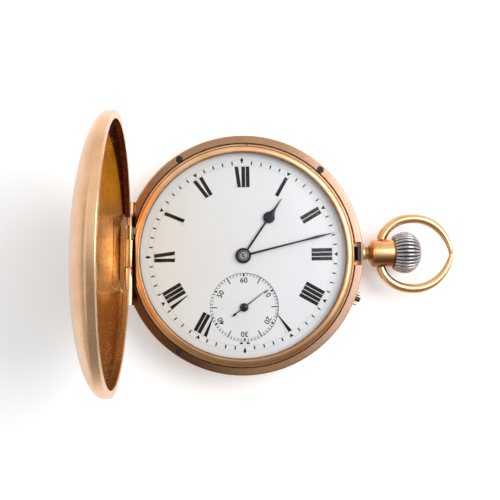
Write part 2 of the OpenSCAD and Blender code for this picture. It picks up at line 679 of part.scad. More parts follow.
module crown() color(steel) difference() {
    translate([0, 0, stem_z]) rotate([0, 90, 0]) {
        rotate_extrude() polygon([
            [0, crown_x - 0.9], [mouth_r - 0.35, crown_x - 0.9], [mouth_r - 0.35, crown_x],
            [skirt_r, crown_x], [skirt_r, crown_back], each ball_line(crown_r - rib_depth),
            [crown_r * 0.13, crown_end + 0.08], [0, crown_end + 0.1]]);
        for (i = [0:crown_ribs - 1]) rotate([0, 0, 360 * (i - 0.3) / crown_ribs])
            rotate_extrude(angle = 216 / crown_ribs) polygon([
                [skirt_r + 0.1, crown_back + 0.15], each ball_line(crown_r),
                [crown_r * 0.2, crown_end - 0.4], [skirt_r + 0.1, crown_x + 0.4]]);
    }
    rod_x(stem_r, crown_x - 1, crown_x + 1.6);
}
crown();

module set_pin() color(steel) rotate([0, 0, set_turn]) translate([set_in_r, 0, set_z]) rotate([0, 90, 0])
    cylinder(r = set_pin_r, h = set_out_r - set_in_r);
set_pin();

module dial() color(enamel) {
    difference() {
        disc(band_in_r - 0.4, dial_z, dial_z + dial_t);
        disc(1.4, 0, z_rim);
        at(fourth_at) disc(sub_dial_d / 2, dial_z + dial_t - 0.25, z_rim);
        at(fourth_at) disc(0.6, 0, z_rim);
    }
    for (a = foot_turns) at(polar(plate_rim_r - 2.2, a)) disc(0.4, plate_top - 0.5, dial_z + eps);
}
dial();

module minute_hand() color(blued) at([0, 0], minute_z, 90 - minute_angle) linear_extrude(hand_t) difference() {
    union() {
        circle(r = 1.05);
        polygon([[0, -0.32], [0.8 * minute_len, -0.2], [0.8 * minute_len, 0.2], [0, 0.32]]);
        polygon([[0.68 * minute_len, 0], [0.74 * minute_len, -0.3], [0.8 * minute_len, -0.42],
                 [0.86 * minute_len, -0.28], [0.93 * minute_len, -0.12], [minute_len, -0.04],
                 [minute_len, 0.04], [0.93 * minute_len, 0.12], [0.86 * minute_len, 0.28],
                 [0.8 * minute_len, 0.42], [0.74 * minute_len, 0.3]]);
    }
    circle(r = 0.7);
}
minute_hand();

module cannon_pinion() color(steel) difference() {
    union() {
        disc(0.7, motion_z, minute_z + hand_t + 0.15);
        plate(motion_z, motion_z + 0.35) teeth(cannon_teeth, cannon_mod, gap = true);
    }
    disc(0.4, 0, z_rim + 2);
}
at([0, 0], 0, motion_turn) cannon_pinion();

// Spade hand: a stem, two round shoulders and a point
module hour_hand() color(blued) at([0, 0], hour_z, 90 - hour_angle) linear_extrude(hand_t) difference() {
    union() {
        circle(r = 1.6);
        translate([0, -0.27]) square([hour_len * 0.66, 0.54]);
        for (s = [-1, 1]) translate([hour_len * 0.66, s * 0.52]) circle(r = 0.65);
        polygon([[hour_len * 0.68, -1.13], [hour_len * 0.74, -0.72], [hour_len * 0.82, -0.3],
                 [hour_len * 0.9, -0.13], [hour_len, -0.04], [hour_len, 0.04], [hour_len * 0.9, 0.13],
                 [hour_len * 0.82, 0.3], [hour_len * 0.74, 0.72], [hour_len * 0.68, 1.13],
                 [hour_len * 0.62, 0]]);
        translate([hour_len * 0.585, 0]) circle(r = 0.42);
    }
    circle(r = 1.1);
}
hour_hand();

module hour_wheel() color(brass) at([0, 0], 0, motion_turn) {
    wheel_z = motion_z + 0.5;
    difference() {
        union() {
            disc(1.1, wheel_z, hour_z + hand_t + 0.1);
            plate(wheel_z, wheel_z + 0.2) teeth(hour_teeth, hour_mod, gap = true);
        }
        disc(0.76, 0, z_rim + 2);
    }
}
hour_wheel();

module minute_wheel() color(brass) difference() {
    at(minute_wheel_at, 0, motion_turn + 180) {
        plate(motion_z, motion_z + 0.25) teeth(minute_teeth, cannon_mod);
        plate(motion_z + 0.25 - eps, motion_z + 0.75) teeth(pinion_teeth, hour_mod);
    }
    at(minute_wheel_at) disc(0.35, 0, z_rim);
}
minute_wheel();

module seconds_hand() color(blued) at(fourth_at, seconds_z, 90 - second_angle) {
    linear_extrude(hand_t * 0.75) difference() {
        union() {
            circle(r = 0.85);
            polygon([[seconds_len, -0.05], [seconds_len, 0.05], [0, 0.16], [-2.6, 0.12], [-2.7, 0.42],
                     [-3.1, 0], [-2.7, -0.42], [-2.6, -0.12], [0, -0.16]]);
        }
        circle(r = 0.25);
    }
}
seconds_hand();

module pillar_plate() color(gilt) difference() {
    union() {
        disc(plate_r, plate_z, plate_z + 0.8);
        disc(plate_rim_r, plate_z, dial_z);
        at(minute_wheel_at) disc(0.3, plate_z, motion_z + 0.8);
    }
    difference() {
        disc(plate_rim_r - 1, plate_top, z_rim);
        at(minute_wheel_at) disc(0.3, 0, motion_z + 0.8);
    }
    disc(0.5, 0, z_rim);
    for (p = [third_at, fourth_at, escape_at, lever_at, balance_at]) at(p)
        disc(pivot_r + pivot_gap + (p == fourth_at ? 0.1 : 0), 0, plate_top + 1);
    at(barrel_at) disc(0.65, 0, plate_z + 0.6);
    for (a = foot_turns) at(polar(plate_rim_r - 2.2, a)) disc(0.42, 0, z_rim);
    for (a = case_screw_turns) at(polar(ledge_r + 0.7, a)) disc(0.37, 0, z_rim);
    block(winding_pinion_x - 0.45, winding_pinion_x + 1.7, -winding_pinion_r - 0.15, winding_pinion_r + 0.15,
          0, z_rim);
    block(winding_pinion_x, case_r, -stem_r - 0.15, stem_r + 0.15, 0, stem_z + stem_r + 0.15);
    // Way for the set pin through the dial rim
    rotate([0, 0, set_turn]) block(plate_rim_r - 2, case_r, -0.8, 0.8, plate_top, z_rim);
    at(crown_wheel_at) disc(0.5, 0, plate_z + 0.6);
}
pillar_plate();

module balance_window() {
    at(balance_at) circle(r = balance_r + 0.9);
    hull() {
        at(balance_at) circle(r = 2.6);
        at(cock_foot_at) circle(r = 2.2);
    }
    hull() {
        at(lever_at) circle(r = 1.3);
        at(pallet_foot_at) circle(r = 1.5);
    }
}

module three_quarter_plate() color(gilt) difference() {
    disc(top_plate_r, top_plate_z, top_plate_top);
    translate([0, 0, top_plate_z - 1]) linear_extrude(top_plate_t + 2) balance_window();
    rotate([0, 0, turn_of(balance_at)]) block(14, case_r, -balance_r, balance_r, 0, z_rim);
    disc(0.45, 0, z_rim);
    for (p = [third_at, fourth_at, escape_at]) at(p) disc(jewel_r, 0, z_rim);
    at(barrel_at) disc(0.85, 0, z_rim);
    at(crown_wheel_at) disc(winding_r + 0.35, 0, z_rim);
    for (a = pillar_turns) at(polar(pillar_ring_r, a)) disc(0.42, 0, z_rim);
    for (p = [click_at, click_spring_at, each bridge_feet]) at(p) disc(0.32, 0, z_rim);
}
three_quarter_plate();

module pillars() color(gilt) for (a = pillar_turns) at(polar(pillar_ring_r, a)) difference() {
    disc(pillar_r, top_plate_top, plate_z);
    disc(0.4, 0, plate_z - 0.4);
}
pillars();

module plate_screws() color(blued) for (a = pillar_turns) at(polar(pillar_ring_r, a), top_plate_z)
    mirror([0, 0, 1]) screw(0.8, 0.4, 0.4, top_plate_t + train_h - 0.5);
plate_screws();

module jewels() color(ruby) {
    for (p = [third_at, fourth_at, escape_at]) at(p) difference() {
        disc(jewel_r, top_plate_z, top_plate_top);
        disc(pivot_r + pivot_gap, 0, z_rim);
    }
    at(balance_at) difference() {
        disc(jewel_r, top_plate_z - 0.75, top_plate_z - 0.3);
        disc(pivot_r + pivot_gap, 0, z_rim);
    }
}
jewels();

module winding_pinion() color(steel) difference() {
    translate([0, 0, stem_z]) rotate([0, 90, 0]) {
        translate([0, 0, winding_pinion_x + 0.14]) linear_extrude(0.6) intersection() {
            teeth(winding_pinion_teeth, 2 * winding_r / winding_teeth, gap = false);
            circle(r = winding_pinion_r);
        }
        translate([0, 0, winding_pinion_x + 0.6]) cylinder(r = 0.95, h = 0.9);
    }
    rod_x(stem_r * 0.8 + 0.04, winding_pinion_x, winding_pinion_x + 2);
    rod_x(stem_r + turn_gap, winding_pinion_x + 0.85, winding_pinion_x + 2);
}
winding_pinion();

// The crown wheel: a flat wheel for the ratchet and upright teeth for the winding pinion
module crown_wheel() color(steel) {
    turn = turn_of(crown_wheel_at - barrel_at) + 180;
    difference() {
        at(crown_wheel_at, 0, turn) union() {
            plate(winding_wheel_z, winding_wheel_z + winding_wheel_t)
                teeth(winding_teeth, winding_mod, gap = true);
            disc(winding_r - 0.2, winding_wheel_z, crown_teeth_z);
        }
        at(crown_wheel_at) disc(winding_r - 0.75, winding_wheel_z + winding_wheel_t, z_rim);
        at(crown_wheel_at) disc(0.86, 0, z_rim);
        for (i = [0:winding_teeth - 1]) at(crown_wheel_at, 0, 360 * i / winding_teeth)
            block(winding_r - 1, winding_r + 1, -0.2, 0.2, crown_teeth_z - 0.2, z_rim);
    }
}
crown_wheel();

// The bridge that the crown wheel turns on: a bar on two feet under the three-quarter plate
module crown_wheel_bridge() color(gilt) difference() {
    union() {
        at(crown_wheel_at, 0, bridge_turn)
            block(-bridge_reach, bridge_reach, -0.6, 0.6, bridge_z, winding_wheel_z - 0.06);
        for (p = bridge_feet) at(p) disc(0.9, bridge_z, top_plate_z);
        at(crown_wheel_at) disc(0.8, bridge_z, crown_teeth_z - face_gap);
    }
    for (p = bridge_feet) at(p) disc(0.32, 0, z_rim);
    for (p = bridge_feet) at(p) disc(0.55, 0, bridge_z + 0.25);
}
crown_wheel_bridge();

module ratchet_wheel() color(steel) difference() {
    at(barrel_at, 0, turn_of(crown_wheel_at - barrel_at))
        plate(winding_wheel_z, winding_wheel_z + winding_wheel_t - 0.05) teeth(winding_teeth, winding_mod);
    at(barrel_at) disc(0.6, 0, z_rim);
}
ratchet_wheel();

module barrel_arbor() color(steel) at(barrel_at) rotate_extrude() polygon([
    [0, winding_wheel_z - 0.25], [1.1, winding_wheel_z - 0.25], [1.1, winding_wheel_z],
    [0.6, winding_wheel_z], [0.6, winding_wheel_z + winding_wheel_t - 0.05],
    [0.8, winding_wheel_z + winding_wheel_t - 0.05], [0.8, top_plate_top + 0.1], [0.6, top_plate_top + 0.1],
    [0.6, plate_z - 1.2], [arbor_core_r, plate_z - 1.2], [arbor_core_r, plate_z - 0.35],
    [0.6, plate_z - 0.35], [0.6, plate_z + 0.5], [0, plate_z + 0.5]]);
barrel_arbor();

module barrel_drum() color(gilt) difference() {
    at(barrel_at, 0, turn_of(-barrel_at)) {
        plate(plate_z - 1.45, plate_z - 1.1) teeth(barrel_teeth, barrel_mod);
        disc(barrel_d / 2, plate_z - 1.45, plate_z - 0.15);
    }
    at(barrel_at) disc(barrel_d / 2 - 0.4, plate_z - 1.3, plate_z);
    at(barrel_at) disc(0.66, 0, z_rim);
}
barrel_drum();

module barrel_cover() color(gilt) at(barrel_at) difference() {
    disc(barrel_d / 2 - 0.4, plate_z - 0.3, plate_z - 0.15);
    disc(0.66, 0, z_rim);
}
barrel_cover();

module mainspring() color(steel) at(barrel_at)
    plate(plate_z - 1.22, plate_z - 0.36) spiral(arbor_core_r + 0.25, 0.58, 9.5, 0.2);
mainspring();

module centre_wheel() color(gilt) {
    at([0, 0], 0, turn_of(third_at)) plate(plate_z - 1.95, plate_z - 1.7)
        crossed(centre_mod * centre_teeth / 2 - 0.9, 1.5, 0.8) teeth(centre_teeth, centre_mod);
    at([0, 0], 0, turn_of(barrel_at)) plate(plate_z - 1.71, plate_z - 1)
        teeth(pinion_teeth, barrel_mod, gap = true);
    disc(0.36, top_plate_z + 0.1, minute_z);
    disc(0.6, top_plate_top + 0.05, plate_z - 0.05);
}
centre_wheel();

module third_wheel() color(gilt) at(third_at) {
    rotate(turn_of(fourth_at - third_at)) plate(plate_z - 0.9, plate_z - 0.65)
        crossed(third_mod * third_teeth / 2 - 0.8, 1.2, 0.6) teeth(third_teeth, third_mod);
    rotate(turn_of(-third_at)) plate(plate_z - 2, plate_z - 1.4) teeth(pinion_teeth, centre_mod, gap = true);
    arbor();
}
third_wheel();

module fourth_wheel() color(gilt) at(fourth_at) {
    rotate(turn_of(escape_at - fourth_at)) plate(plate_z - 1.5, plate_z - 1.25)
        crossed(fourth_mod * fourth_teeth / 2 - 0.7, 1.1, 0.5) teeth(fourth_teeth, fourth_mod);
    rotate(turn_of(third_at - fourth_at)) plate(plate_z - 1.1, plate_z - 0.4)
        teeth(pinion_teeth, third_mod, gap = true);
    arbor();
    disc(0.25, plate_z - 0.1, seconds_z + 0.15);
}
fourth_wheel();

module escape_wheel() color(steel) at(escape_at) {
    plate(plate_z - 2, plate_z - 1.8) crossed(escape_r - 0.75, 0.7, 0.35) polygon([
        for (i = [0:escape_teeth - 1]) let (a = 360 * i / escape_teeth)
            each [polar(escape_r - 0.5, a), polar(escape_r, a + 9), polar(escape_r - 0.05, a + 12),
                  polar(escape_r - 0.5, a + 16)]]);
    rotate(turn_of(fourth_at - escape_at)) plate(plate_z - 1.81, plate_z - 1.1)
        teeth(escape_pinion_teeth, fourth_mod, gap = true);
    arbor();
}
escape_wheel();

// The lever: two arms with pallet stones that stand just off the escape wheel, and a fork
module pallet_lever() color(steel) {
    to_wheel = turn_of(escape_at - lever_at);
    to_balance = turn_of(balance_at - lever_at);
    at(lever_at) {
        plate(plate_z - 2.05, plate_z - 1.8) difference() {
            union() {
                circle(r = 0.55);
                for (s = [-1, 1]) rotate(to_wheel + s * 38) translate([0, -0.22]) square([2.3, 0.44]);
                rotate(to_balance) translate([0, -0.2]) square([4.1, 0.4]);
                rotate(to_balance) translate([3.8, -0.5]) square([0.65, 1]);
            }
            rotate(to_balance) translate([4.15, -0.2]) square([1, 0.4]);
        }
        disc(0.18, plate_z - 2.06, plate_z - 0.05);
        disc(pivot_r, plate_z - 2.3, plate_z + 0.6);
    }
}
pallet_lever();

module pallet_cock() color(gilt) difference() {
    union() {
        plate(plate_z - 2.35, plate_z - 2.1) hull() {
            at(lever_at) circle(r = 0.7);
            at(pallet_foot_at) circle(r = 1);
        }
        at(pallet_foot_at) disc(0.95, plate_z - 2.2, plate_z);
    }
    at(lever_at) disc(pivot_r + pivot_gap, 0, z_rim);
}
pallet_cock();

module balance_wheel() color(gold) at(balance_at) {
    difference() {
        disc(balance_r, plate_z - 2.9, plate_z - 2.45);
        disc(balance_r - 0.5, 0, z_rim);
    }
    plate(plate_z - 2.8, plate_z - 2.55) difference() {
        union() {
            circle(r = 0.9);
            square([2 * balance_r - 0.5, 0.7], center = true);
        }
        circle(r = 0.3);
    }
    for (i = [0:13]) rotate([0, 0, 360 * (i + 0.5) / 14]) translate([balance_r - 0.1, 0, plate_z - 2.675])
        rotate([0, 90, 0]) cylinder(r = 0.2, h = 0.4);
}
balance_wheel();

module balance_staff() color(steel) at(balance_at) {
    disc(0.3, top_plate_z - 0.25, plate_z - 0.1);
    disc(pivot_r, top_plate_z - 0.65, plate_z + 0.6);
    difference() {
        disc(0.8, plate_z - 1.75, plate_z - 1.6);
        rotate([0, 0, turn_of(lever_at - balance_at)]) at([0.85, 0]) disc(0.25, 0, z_rim);
    }
}
balance_staff();

module balance_spring() color(blued) at(balance_at)
    plate(plate_z - 3.15, plate_z - 3) spiral(0.55, 0.3, 7, 0.08, per_turn = 20);
balance_spring();

module balance_cock() color(gilt) {
    low = top_plate_z - 0.75;
    difference() {
        union() {
            plate(low, low + 0.45) hull() {
                at(balance_at) circle(r = 2);
                at(cock_foot_at) circle(r = 1.8);
            }
            at(cock_foot_at) disc(1.75, low + 0.4, plate_z);
            at(balance_at + polar(2.9, turn_of(cock_foot_at - balance_at))) disc(0.25, low + 0.4, low + 0.8);
        }
        at(balance_at) disc(jewel_r, 0, top_plate_top);
        at(cock_foot_at) disc(0.42, 0, plate_z - 0.5);
    }
}
balance_cock();

module regulator() color(steel) at(balance_at, top_plate_z - 1) linear_extrude(0.23) difference() {
    union() {
        circle(r = 1.4);
        rotate(turn_of(cock_foot_at - balance_at)) polygon([[0, -0.3], [5.2, -0.1], [5.2, 0.1], [0, 0.3]]);
    }
    circle(r = 0.9);
}
regulator();

module cock_screws() color(blued) at(cock_foot_at, top_plate_z - 0.75) mirror([0, 0, 1])
    screw(0.8, 0.2, 0.4, 2.6);
cock_screws();

module click() color(steel) difference() {
    plate(winding_wheel_z, winding_wheel_z + 0.5) hull() {
        at(click_at) circle(r = 0.7);
        at(click_nose_at) circle(r = 0.2);
    }
    at(click_at) disc(0.35, 0, z_rim);
}
click();

module click_spring() color(steel) difference() {
    union() {
        at(click_spring_at) disc(0.7, winding_wheel_z + 0.2, top_plate_z);
        plate(winding_wheel_z + 0.2, top_plate_z) hull() {
            at(click_spring_at) circle(r = 0.2);
            at(click_at + polar(1.2, 90)) circle(r = 0.1);
        }
    }
    at(click_spring_at) disc(0.32, 0, z_rim);
}
click_spring();

module click_screws() color(blued) {
    at(click_at, winding_wheel_z - 0.05) mirror([0, 0, 1]) screw(0.6, 0.25, 0.3, top_plate_t + 0.5);
    at(click_spring_at, winding_wheel_z + 0.2) mirror([0, 0, 1]) screw(0.6, 0.3, 0.3, top_plate_t + 0.4);
}
click_screws();

module bridge_screws() color(blued) for (p = bridge_feet) at(p, bridge_z + 0.24)
    mirror([0, 0, 1]) screw(0.5, 0.22, 0.3, top_plate_z - bridge_z + top_plate_t - 0.3);
bridge_screws();
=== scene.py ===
# %% [markdown]
# # A full hunter pocket watch, dressed in Blender
# The solid model arrives as a fixed frame of named pieces. This lesson gives it what a solid model
# lacks: smooth turned gold, an enamel dial with printed figures, blued hands, a glass, studio light
# and a camera. Lengths are written in millimetres and become metres where a mesh is made.

# %% Load the frame
import math

import bmesh
import bpy
import numpy as np
from mathutils import Matrix, Vector


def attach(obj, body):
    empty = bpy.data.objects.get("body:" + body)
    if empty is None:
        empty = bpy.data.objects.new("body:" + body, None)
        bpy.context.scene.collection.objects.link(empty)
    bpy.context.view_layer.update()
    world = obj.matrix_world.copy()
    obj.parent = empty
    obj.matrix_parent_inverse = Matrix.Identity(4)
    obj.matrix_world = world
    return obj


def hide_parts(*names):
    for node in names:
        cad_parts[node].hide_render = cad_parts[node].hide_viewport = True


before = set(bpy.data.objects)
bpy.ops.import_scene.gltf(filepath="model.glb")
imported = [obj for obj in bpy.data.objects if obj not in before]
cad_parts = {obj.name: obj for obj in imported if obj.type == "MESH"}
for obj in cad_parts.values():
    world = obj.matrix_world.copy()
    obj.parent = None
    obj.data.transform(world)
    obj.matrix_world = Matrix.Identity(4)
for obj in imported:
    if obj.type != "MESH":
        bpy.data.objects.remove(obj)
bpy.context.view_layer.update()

# %% [markdown]
# ## The watch's main sizes
# These repeat the values that the solid model is drawn from, so that each dressed piece lies on its
# solid. Radii are from the case axis, heights from the table that the watch lies on, angles in degrees.

# %% Sizes in millimetres
case_r, land_in_r = 25.0, 23.3
z_back, z_rim, z_lid = 4.2, 10.0, 10.1
hinge_x, hinge_z, lid_open, hinge_turn = -23.4, 10.1, 88, -2.0
bezel_in_r, bezel_out_r = 21.25, 23.05
stem_z, dial_top, sub_y = 6.3, 9.4, -10.75
print("case", 2 * case_r, "mm across; dial face at", dial_top, "mm")

# %% [markdown]
# ## Surfaces from arrays
# Nearly every piece of a watch is turned on a lathe or drawn as a wire. Both are a grid of points: one
# parameter runs along an outline, the other round the axis or along the path. The whole grid is one
# numpy array, and neighbouring points become four-sided faces.

# %% A grid of points becomes a mesh
MM = 0.001


def mesh_from(name, points, faces):
    """Points in millimetres, an (n, 3) array, and faces, an (m, k) array of point numbers."""
    mesh = bpy.data.meshes.new(name)
    count, side = faces.shape
    mesh.vertices.add(len(points))
    mesh.vertices.foreach_set("co", (np.asarray(points, np.float64) * MM).astype(np.float32).ravel())
    mesh.loops.add(count * side)
    mesh.loops.foreach_set("vertex_index", faces.astype(np.int32).ravel())
    mesh.polygons.add(count)
    mesh.polygons.foreach_set("loop_start", np.arange(count, dtype=np.int32) * side)
    mesh.update(calc_edges=True)
    mesh.validate()
    return mesh


def grid_faces(nu, nv, close_u, close_v):
    """Point (i, j) is number i * nv + j. Each face joins (i, j), (i+1, j), (i+1, j+1) and (i, j+1)."""
    number = np.arange(nu * nv).reshape(nu, nv)
    if close_u:
        number = np.concatenate([number, number[:1]], 0)
    if close_v:
        number = np.concatenate([number, number[:, :1]], 1)
    a, b, c, d = number[:-1, :-1], number[1:, :-1], number[1:, 1:], number[:-1, 1:]
    return np.stack([a, b, c, d], -1).reshape(-1, 4)


# %% One object from one or several meshes, closed and facing outwards
def add(name, data):
    """A new object in the scene, at the origin."""
    thing = bpy.data.objects.new(name, data)
    bpy.context.scene.collection.objects.link(thing)
    return thing


def piece(name, *meshes, sharp=35):
    """Joins closed meshes in one object at the origin. Doubled points merge, faces turn outwards."""
    bm = bmesh.new()
    for mesh in meshes:
        part = bmesh.new()
        part.from_mesh(mesh)
        bmesh.ops.remove_doubles(part, verts=part.verts, dist=2e-7)
        bmesh.ops.dissolve_degenerate(part, edges=part.edges, dist=1e-8)
        bmesh.ops.recalc_face_normals(part, faces=part.faces)
        part.to_mesh(mesh)
        part.free()
        bm.from_mesh(mesh)
    whole = bpy.data.meshes.new(name)
    bm.to_mesh(whole)
    bm.free()
    for mesh in meshes:
        bpy.data.meshes.remove(mesh)
    whole.shade_smooth()
    whole.set_sharp_from_angle(angle=math.radians(sharp))
    print(f"{name}: {len(whole.polygons)} faces")
    return add(name, whole)


# %% Outlines with rounded corners
def rounded(points, radius, steps=5):
    """A closed outline whose corners are eased: corner c between points a and b, `radius` away on its
    two sides, becomes the curve (1-t)^2 a + 2 t (1-t) c + t^2 b."""
    p = np.asarray(points, float)
    r = np.broadcast_to(np.asarray(radius, float), len(p))
    back, ahead = np.roll(p, 1, 0) - p, np.roll(p, -1, 0) - p
    near, far = np.linalg.norm(back, axis=1), np.linalg.norm(ahead, axis=1)
    a = p + back * (np.minimum(r, 0.45 * near) / near)[:, None]
    b = p + ahead * (np.minimum(r, 0.45 * far) / far)[:, None]
    t = np.linspace(0, 1, steps + 1)[None, :, None]
    curve = (1 - t) ** 2 * a[:, None] + 2 * t * (1 - t) * p[:, None] + t ** 2 * b[:, None]
    return curve.reshape(-1, 2)


# %% Turning an outline on the lathe
def turned(name, outline, sides=256, along="z", centre=(0, 0, 0), closed=True):
    """Outline points (r, h) go round an axis: (r cos u, r sin u, h) along Z, or (h, r cos u, r sin u)
    along X, or (r sin u, h, r cos u) along Y."""
    u = np.linspace(0, 2 * np.pi, sides, endpoint=False)[:, None]
    r, h = np.asarray(outline, float).T
    x, y, z = r * np.cos(u), r * np.sin(u), h + 0 * u
    grid = {"z": (x, y, z), "x": (z, x, y), "y": (y, z, x)}[along]
    points = np.stack(grid, -1) + np.asarray(centre, float)
    return mesh_from(name, points.reshape(-1, 3), grid_faces(sides, len(r), True, closed))


# %% [markdown]
# A flat shape, such as the leaf of a hinge, is an outline given a thickness. Its top can be a little
# smaller than its foot, which leaves a sloping edge that catches light as a filed one does.

# %% Flat shapes with a sloping edge
def slab(name, outline, z0, z1, slope=0.0):
    """A prism over a star-shaped outline, from z0 to z1, whose top is drawn in by `slope`."""
    p = np.asarray(outline, float)
    n = len(p)
    ahead = np.roll(p, -1, 0) - np.roll(p, 1, 0)
    normal = np.stack([ahead[:, 1], -ahead[:, 0]], 1)
    normal /= np.linalg.norm(normal, axis=1)[:, None] + 1e-12
    area = np.sum(p[:, 0] * np.roll(p[:, 1], -1) - p[:, 1] * np.roll(p[:, 0], -1))
    top = p - normal * slope * np.sign(area)
    points = np.concatenate([np.c_[p, np.full(n, z0)], np.c_[top, np.full(n, z1)]])
    bm = bmesh.new()
    verts = [bm.verts.new(v) for v in (points * MM).tolist()]
    low, high = verts[:n], verts[n:]
    bm.faces.new(low[::-1])
    bm.faces.new(high)
    for i in range(n):
        bm.faces.new((low[i], low[(i + 1) % n], high[(i + 1) % n], high[i]))
    bmesh.ops.triangulate(bm, faces=[f for f in bm.faces if len(f.verts) > 4])
    mesh = bpy.data.meshes.new(name)
    bm.to_mesh(mesh)
    bm.free()
    return mesh


def placed(mesh, matrix):
    """The same mesh, moved by a 4 x 4 matrix in millimetres."""
    move = matrix.copy()
    move.translation *= MM
    mesh.transform(move)
    return mesh


# %% [markdown]
# ## Shader maths as plain expressions
# A material is a small program. The class below wraps a socket, so that `1 - mask * 0.4` writes its
# own Math nodes, and `node` adds any other kind of node from its type, its settings and its sockets.

# %% A socket that does arithmetic
class Wire:
    """A value that flows through a material."""

    def __init__(self, finish, socket):
        self.finish, self.socket = finish, socket

    def maths(self, operation, *others):
        values = {i: v for i, v in enumerate((self,) + others)}
        return self.finish.node("ShaderNodeMath", {"operation": operation}, values)

    def __add__(self, other):
        return self.maths("ADD", other)

    def __sub__(self, other):
        return self.maths("SUBTRACT", other)

    def __mul__(self, other):
        return self.maths("MULTIPLY", other)

    def __pow__(self, other):
        return self.maths("POWER", other)

    def __rsub__(self, other):
        return self.finish.node("ShaderNodeMath", {"operation": "SUBTRACT"}, {0: other, 1: self})

    __radd__, __rmul__ = __add__, __mul__


class Finish:
    """A material under construction, with one Principled shader."""

    def __init__(self, name):
        self.material = bpy.data.materials.new(name)
        self.material.use_nodes = True
        self.tree = self.material.node_tree
        self.tree.nodes.clear()
        self.output = self.tree.nodes.new("ShaderNodeOutputMaterial")
        self.shader = self.tree.nodes.new("ShaderNodeBsdfPrincipled")
        self.tree.links.new(self.shader.outputs[0], self.output.inputs[0])

    def feed(self, socket, value):
        """Gives a socket a wire, a number or a colour."""
        if isinstance(value, Wire):
            self.tree.links.new(value.socket, socket)
        else:
            socket.default_value = value

    def node(self, kind, settings=None, sockets=None, out=0):
        """Adds a node. Settings come first, then its sockets are fed."""
        made = self.tree.nodes.new(kind)
        for name, value in (settings or {}).items():
            setattr(made, name, value)
        for name, value in (sockets or {}).items():
            self.feed(made.inputs[name], value)
        return Wire(self, made.outputs[out])

    def set(self, **sockets):
        """Feeds the main shader: base_color=..., roughness=... and so on."""
        for name, value in sockets.items():
            title = name.replace("_", " ").title().replace("Ior", "IOR")
            self.feed(self.shader.inputs[title], value)

    def place(self, scale=(1, 1, 1), turn=(0, 0, 0), shift=(0, 0, 0)):
        """Object coordinates in millimetres, then scaled, turned and shifted."""
        here = self.node("ShaderNodeTexCoord", out=3)
        in_mm = tuple(1000 * s for s in scale)
        return self.node("ShaderNodeMapping", {}, {
            "Vector": here, "Scale": in_mm, "Rotation": turn, "Location": shift})

    def noise(self, size, detail=3, rough=0.55, **where):
        """Soft blotches about `size` millimetres across, from 0 to 1."""
        return self.node("ShaderNodeTexNoise", {}, {
            "Vector": self.place(**where), "Scale": 1 / size, "Detail": detail, "Roughness": rough})

    def step(self, value, low, high, to=(0, 1)):
        """Rises smoothly from to[0] to to[1] while value goes from low to high."""
        return self.node("ShaderNodeMapRange", {"interpolation_type": "SMOOTHSTEP"}, {
            "Value": value, "From Min": low, "From Max": high, "To Min": to[0], "To Max": to[1]})

    def between(self, value, rise, fall):
        """Rises from 0 to 1 over the stretch `rise`, and falls back to 0 over the stretch `fall`."""
        return self.step(value, *rise) * (1 - self.step(value, *fall))

    def mix(self, mask, first, second):
        """The colour first where mask is 0, second where it is 1."""
        first, second = [c if isinstance(c, Wire) else (*c, 1) for c in (first, second)]
        return self.node("ShaderNodeMix", {"data_type": "RGBA"}, {0: mask, 6: first, 7: second}, out=2)

    def bump(self, height, depth, soft_edge=None):
        """A Bump node: height from 0 to 1 stands for `depth` millimetres."""
        sockets = {"Height": height, "Strength": 1.0, "Distance": depth * MM}
        if soft_edge:
            sockets["Normal"] = soft_edge
        return self.node("ShaderNodeBump", {}, sockets)

    def eased(self, radius):
        """A normal that rounds the sharp edges of a solid over `radius` millimetres."""
        return self.node("ShaderNodeBevel", {"samples": 6}, {"Radius": radius * MM})


# %% Distances that masks are made of
def axis_parts(finish):
    """The X, Y and Z of the object coordinates, in millimetres."""
    where = finish.place()
    return [finish.node("ShaderNodeSeparateXYZ", {}, {0: where}, out=i) for i in range(3)]


def far_from_axis(x, y):
    """Distance from the line x = y = 0: the square root of x^2 + y^2."""
    return (x * x + y * y) ** 0.5


# %% [markdown]
# ## Gold
# The case is of gold, worn for a century. Polished gold is almost a coloured mirror, so its life comes
# from small things: faint hairline scratches in every direction, a few pits, brown grime and painted
# shade where a cloth never reaches, and a colour that shifts a little between its blotches. Several
# pieces also have light and shade painted into their colour.

# %% Gold in several tempers
def lathe_marks(f):
    """Fine rings left by the lathe: noise over (r, z) that changes slowly with the angle round Z."""
    x, y, z = axis_parts(f)
    ring = f.node("ShaderNodeCombineXYZ", {}, {
        0: far_from_axis(x, y), 1: z, 2: y.maths("ARCTAN2", x) * 3})
    return f.node("ShaderNodeTexNoise", {}, {
        "Vector": ring, "Scale": 6.0, "Detail": 4, "Roughness": 0.6})


